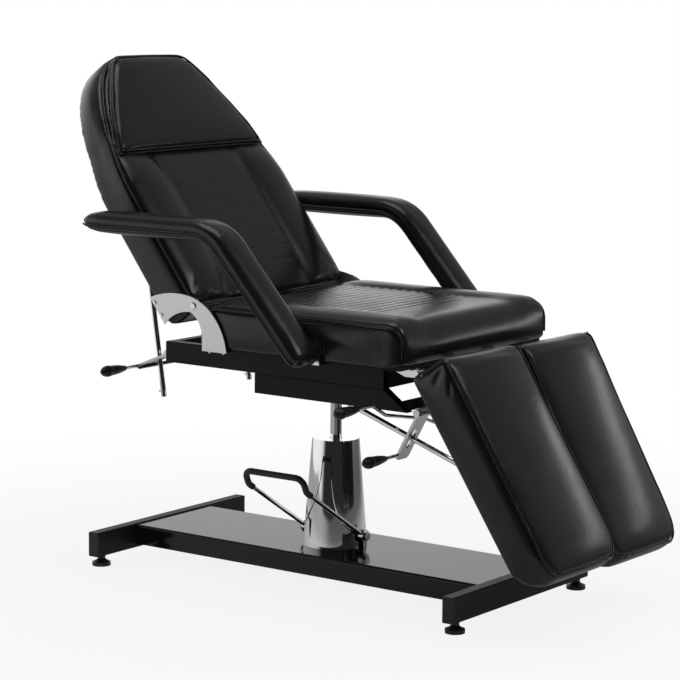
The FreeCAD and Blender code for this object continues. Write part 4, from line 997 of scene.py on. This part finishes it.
def mirrored_copy(piece, name):
    """The same piece for the other side of the chair."""
    other = new_piece(name, piece.data.copy())
    shell = bmesh.new()
    shell.from_mesh(other.data)
    bmesh.ops.scale(shell, vec=(-1, 1, 1), verts=shell.verts)
    bmesh.ops.reverse_faces(shell, faces=shell.faces)
    shell.to_mesh(other.data)
    shell.free()
    return other


def fit_both(pieces, limb, places):
    """Put a left pad and its trimmings in place, and mirrored copies of them on the right."""
    others = [mirrored_copy(piece, piece.name.replace("left", "right")) for piece in pieces]
    for side, (pad, *trimmings) in (("left", pieces), ("right", others)):
        body = f"{side}_{limb}"
        fit_pad(pad, places[side], body, body + "_pad")
        for piece in trimmings:
            fit_piece(piece, places[side], body)


leg = soft_copy("left_leg_cushion", "left_leg_pad", leg_place("left"))
roll_top(leg)
leg_edge = leg_rim(0)
held = (points(leg)[:, 2] < LEG_BOARD) | on_seam(leg, [leg_edge])
swell(leg, held, LEG_SWELL)
keep_width(leg, LEG_X, LEG_LIMIT)
leg_piping = piped("left_leg_piping", leg, [leg_edge])
for side in (-1, 1):
    flank = LEG_X + side * (LEG_HALF + 1)
    for start, end, depth, width in PLEATS:
        crease(leg, (flank, *start), (flank, *end), depth, width)
leg_thread = stitched("left_leg_stitches", leg, leg_rim(8))
fit_both([leg, leg_piping, leg_thread], "leg", {side: leg_place(side) for side in LEG_TILTS})

# %% [markdown]
# ## The arms
# An arm is a padded band that runs level along the side and bends down to its pivot. Its section is
# a crowned top on a flat base. It is drawn once as an outline and extruded from station to station,
# turned a little at each, which is how such a bend is best made. A piped seam runs along each lower
# edge.

# %% Arm
ARM_X = 362
ARM_LIMIT = 48
ARM_PIPING = 2.2
ARM_VOXEL = 0.005
ARM_HOLD = 0.006
ARM_SWELL = 0.006
ARM_SIDES = 28
ARM_HALF = 47
ARM_CROWN = 24
ARM_LEVEL = 852
ARM_BEND = 48
ARM_BEND_FROM = 113.87
ARM_RADIUS = 112
ARM_CORNER = 64
ARM_STATIONS = [(448, 850, 0, 0.30), (440, 851, 0, 0.58), (424, 852, 0, 0.84), (398, 852, 0, 1.0)]
for fifth in range(6):
    turn = math.radians(ARM_BEND * fifth / 5)
    ARM_STATIONS.append((ARM_BEND_FROM - ARM_RADIUS * math.sin(turn),
                         ARM_LEVEL - ARM_RADIUS * (1 - math.cos(turn)), ARM_BEND * fifth / 5, 1.0))
for far, size in ((346, 1.0), (363, 0.9), (372, 0.66)):
    ARM_STATIONS.append((ARM_CORNER - far * math.cos(math.radians(ARM_BEND)),
                         ARM_LEVEL - far * math.sin(math.radians(ARM_BEND)), ARM_BEND, size))


def arm_frame(y, z, bend, size):
    """Matrix from a flat section (x across, y out of the top) to its station along the arm."""
    turn = math.radians(bend)
    across = Vector((1, 0, 0))
    out = Vector((0, -math.sin(turn), math.cos(turn)))
    heading = Vector((0, -math.cos(turn), -math.sin(turn)))
    axes = Matrix((across, out, heading)).transposed().to_4x4()
    narrow = Matrix.Diagonal((0.6 + 0.4 * size, size, 1, 1))
    return Matrix.Translation(Vector((ARM_X, y, z)) * MM) @ axes @ narrow


band = bmesh.new()
section = bmesh.ops.create_circle(band, cap_ends=True, segments=ARM_SIDES, radius=1)["verts"]
for spot in section:
    x, out = spot.co.x, spot.co.y
    rounded = math.copysign(abs(x) ** 0.55, x)
    height = out ** 0.9 if out > 0 else -abs(out) ** 0.35
    flat = Vector((ARM_HALF * MM * rounded, ARM_CROWN * MM * height, 0))
    spot.co = arm_frame(*ARM_STATIONS[0]) @ flat
layer = list(band.faces)
for last, station in zip(ARM_STATIONS, ARM_STATIONS[1:]):
    step = arm_frame(*station) @ arm_frame(*last).inverted()
    grown = bmesh.ops.extrude_face_region(band, geom=layer)["geom"]
    if last is not ARM_STATIONS[0]:
        bmesh.ops.delete(band, geom=layer, context="FACES_ONLY")
    layer = [item for item in grown if isinstance(item, bmesh.types.BMFace)]
    corners = [item for item in grown if isinstance(item, bmesh.types.BMVert)]
    bmesh.ops.transform(band, matrix=step, verts=corners)
bmesh.ops.recalc_face_normals(band, faces=band.faces)
arm = piece_from(band, "left_arm_cushion")
even_net(arm, ARM_VOXEL)


def arm_seam(across, stations):
    """A line along the arm's lower edge through some of its stations."""
    spot = Vector((across * MM, -ARM_CROWN / 2 * MM, 0))
    return run([tuple(arm_frame(*station) @ spot / MM) for station in stations])


arm_edges = [arm_seam(ARM_HALF, ARM_STATIONS), arm_seam(-ARM_HALF, ARM_STATIONS[:11])]
swell(arm, on_seam(arm, arm_edges, ARM_HOLD), ARM_SWELL)
keep_width(arm, ARM_X, ARM_LIMIT)
arm_piping = piped("left_arm_piping", arm, arm_edges, radius=ARM_PIPING)
fit_both([arm, arm_piping], "arm", {"left": SEAT, "right": SEAT})
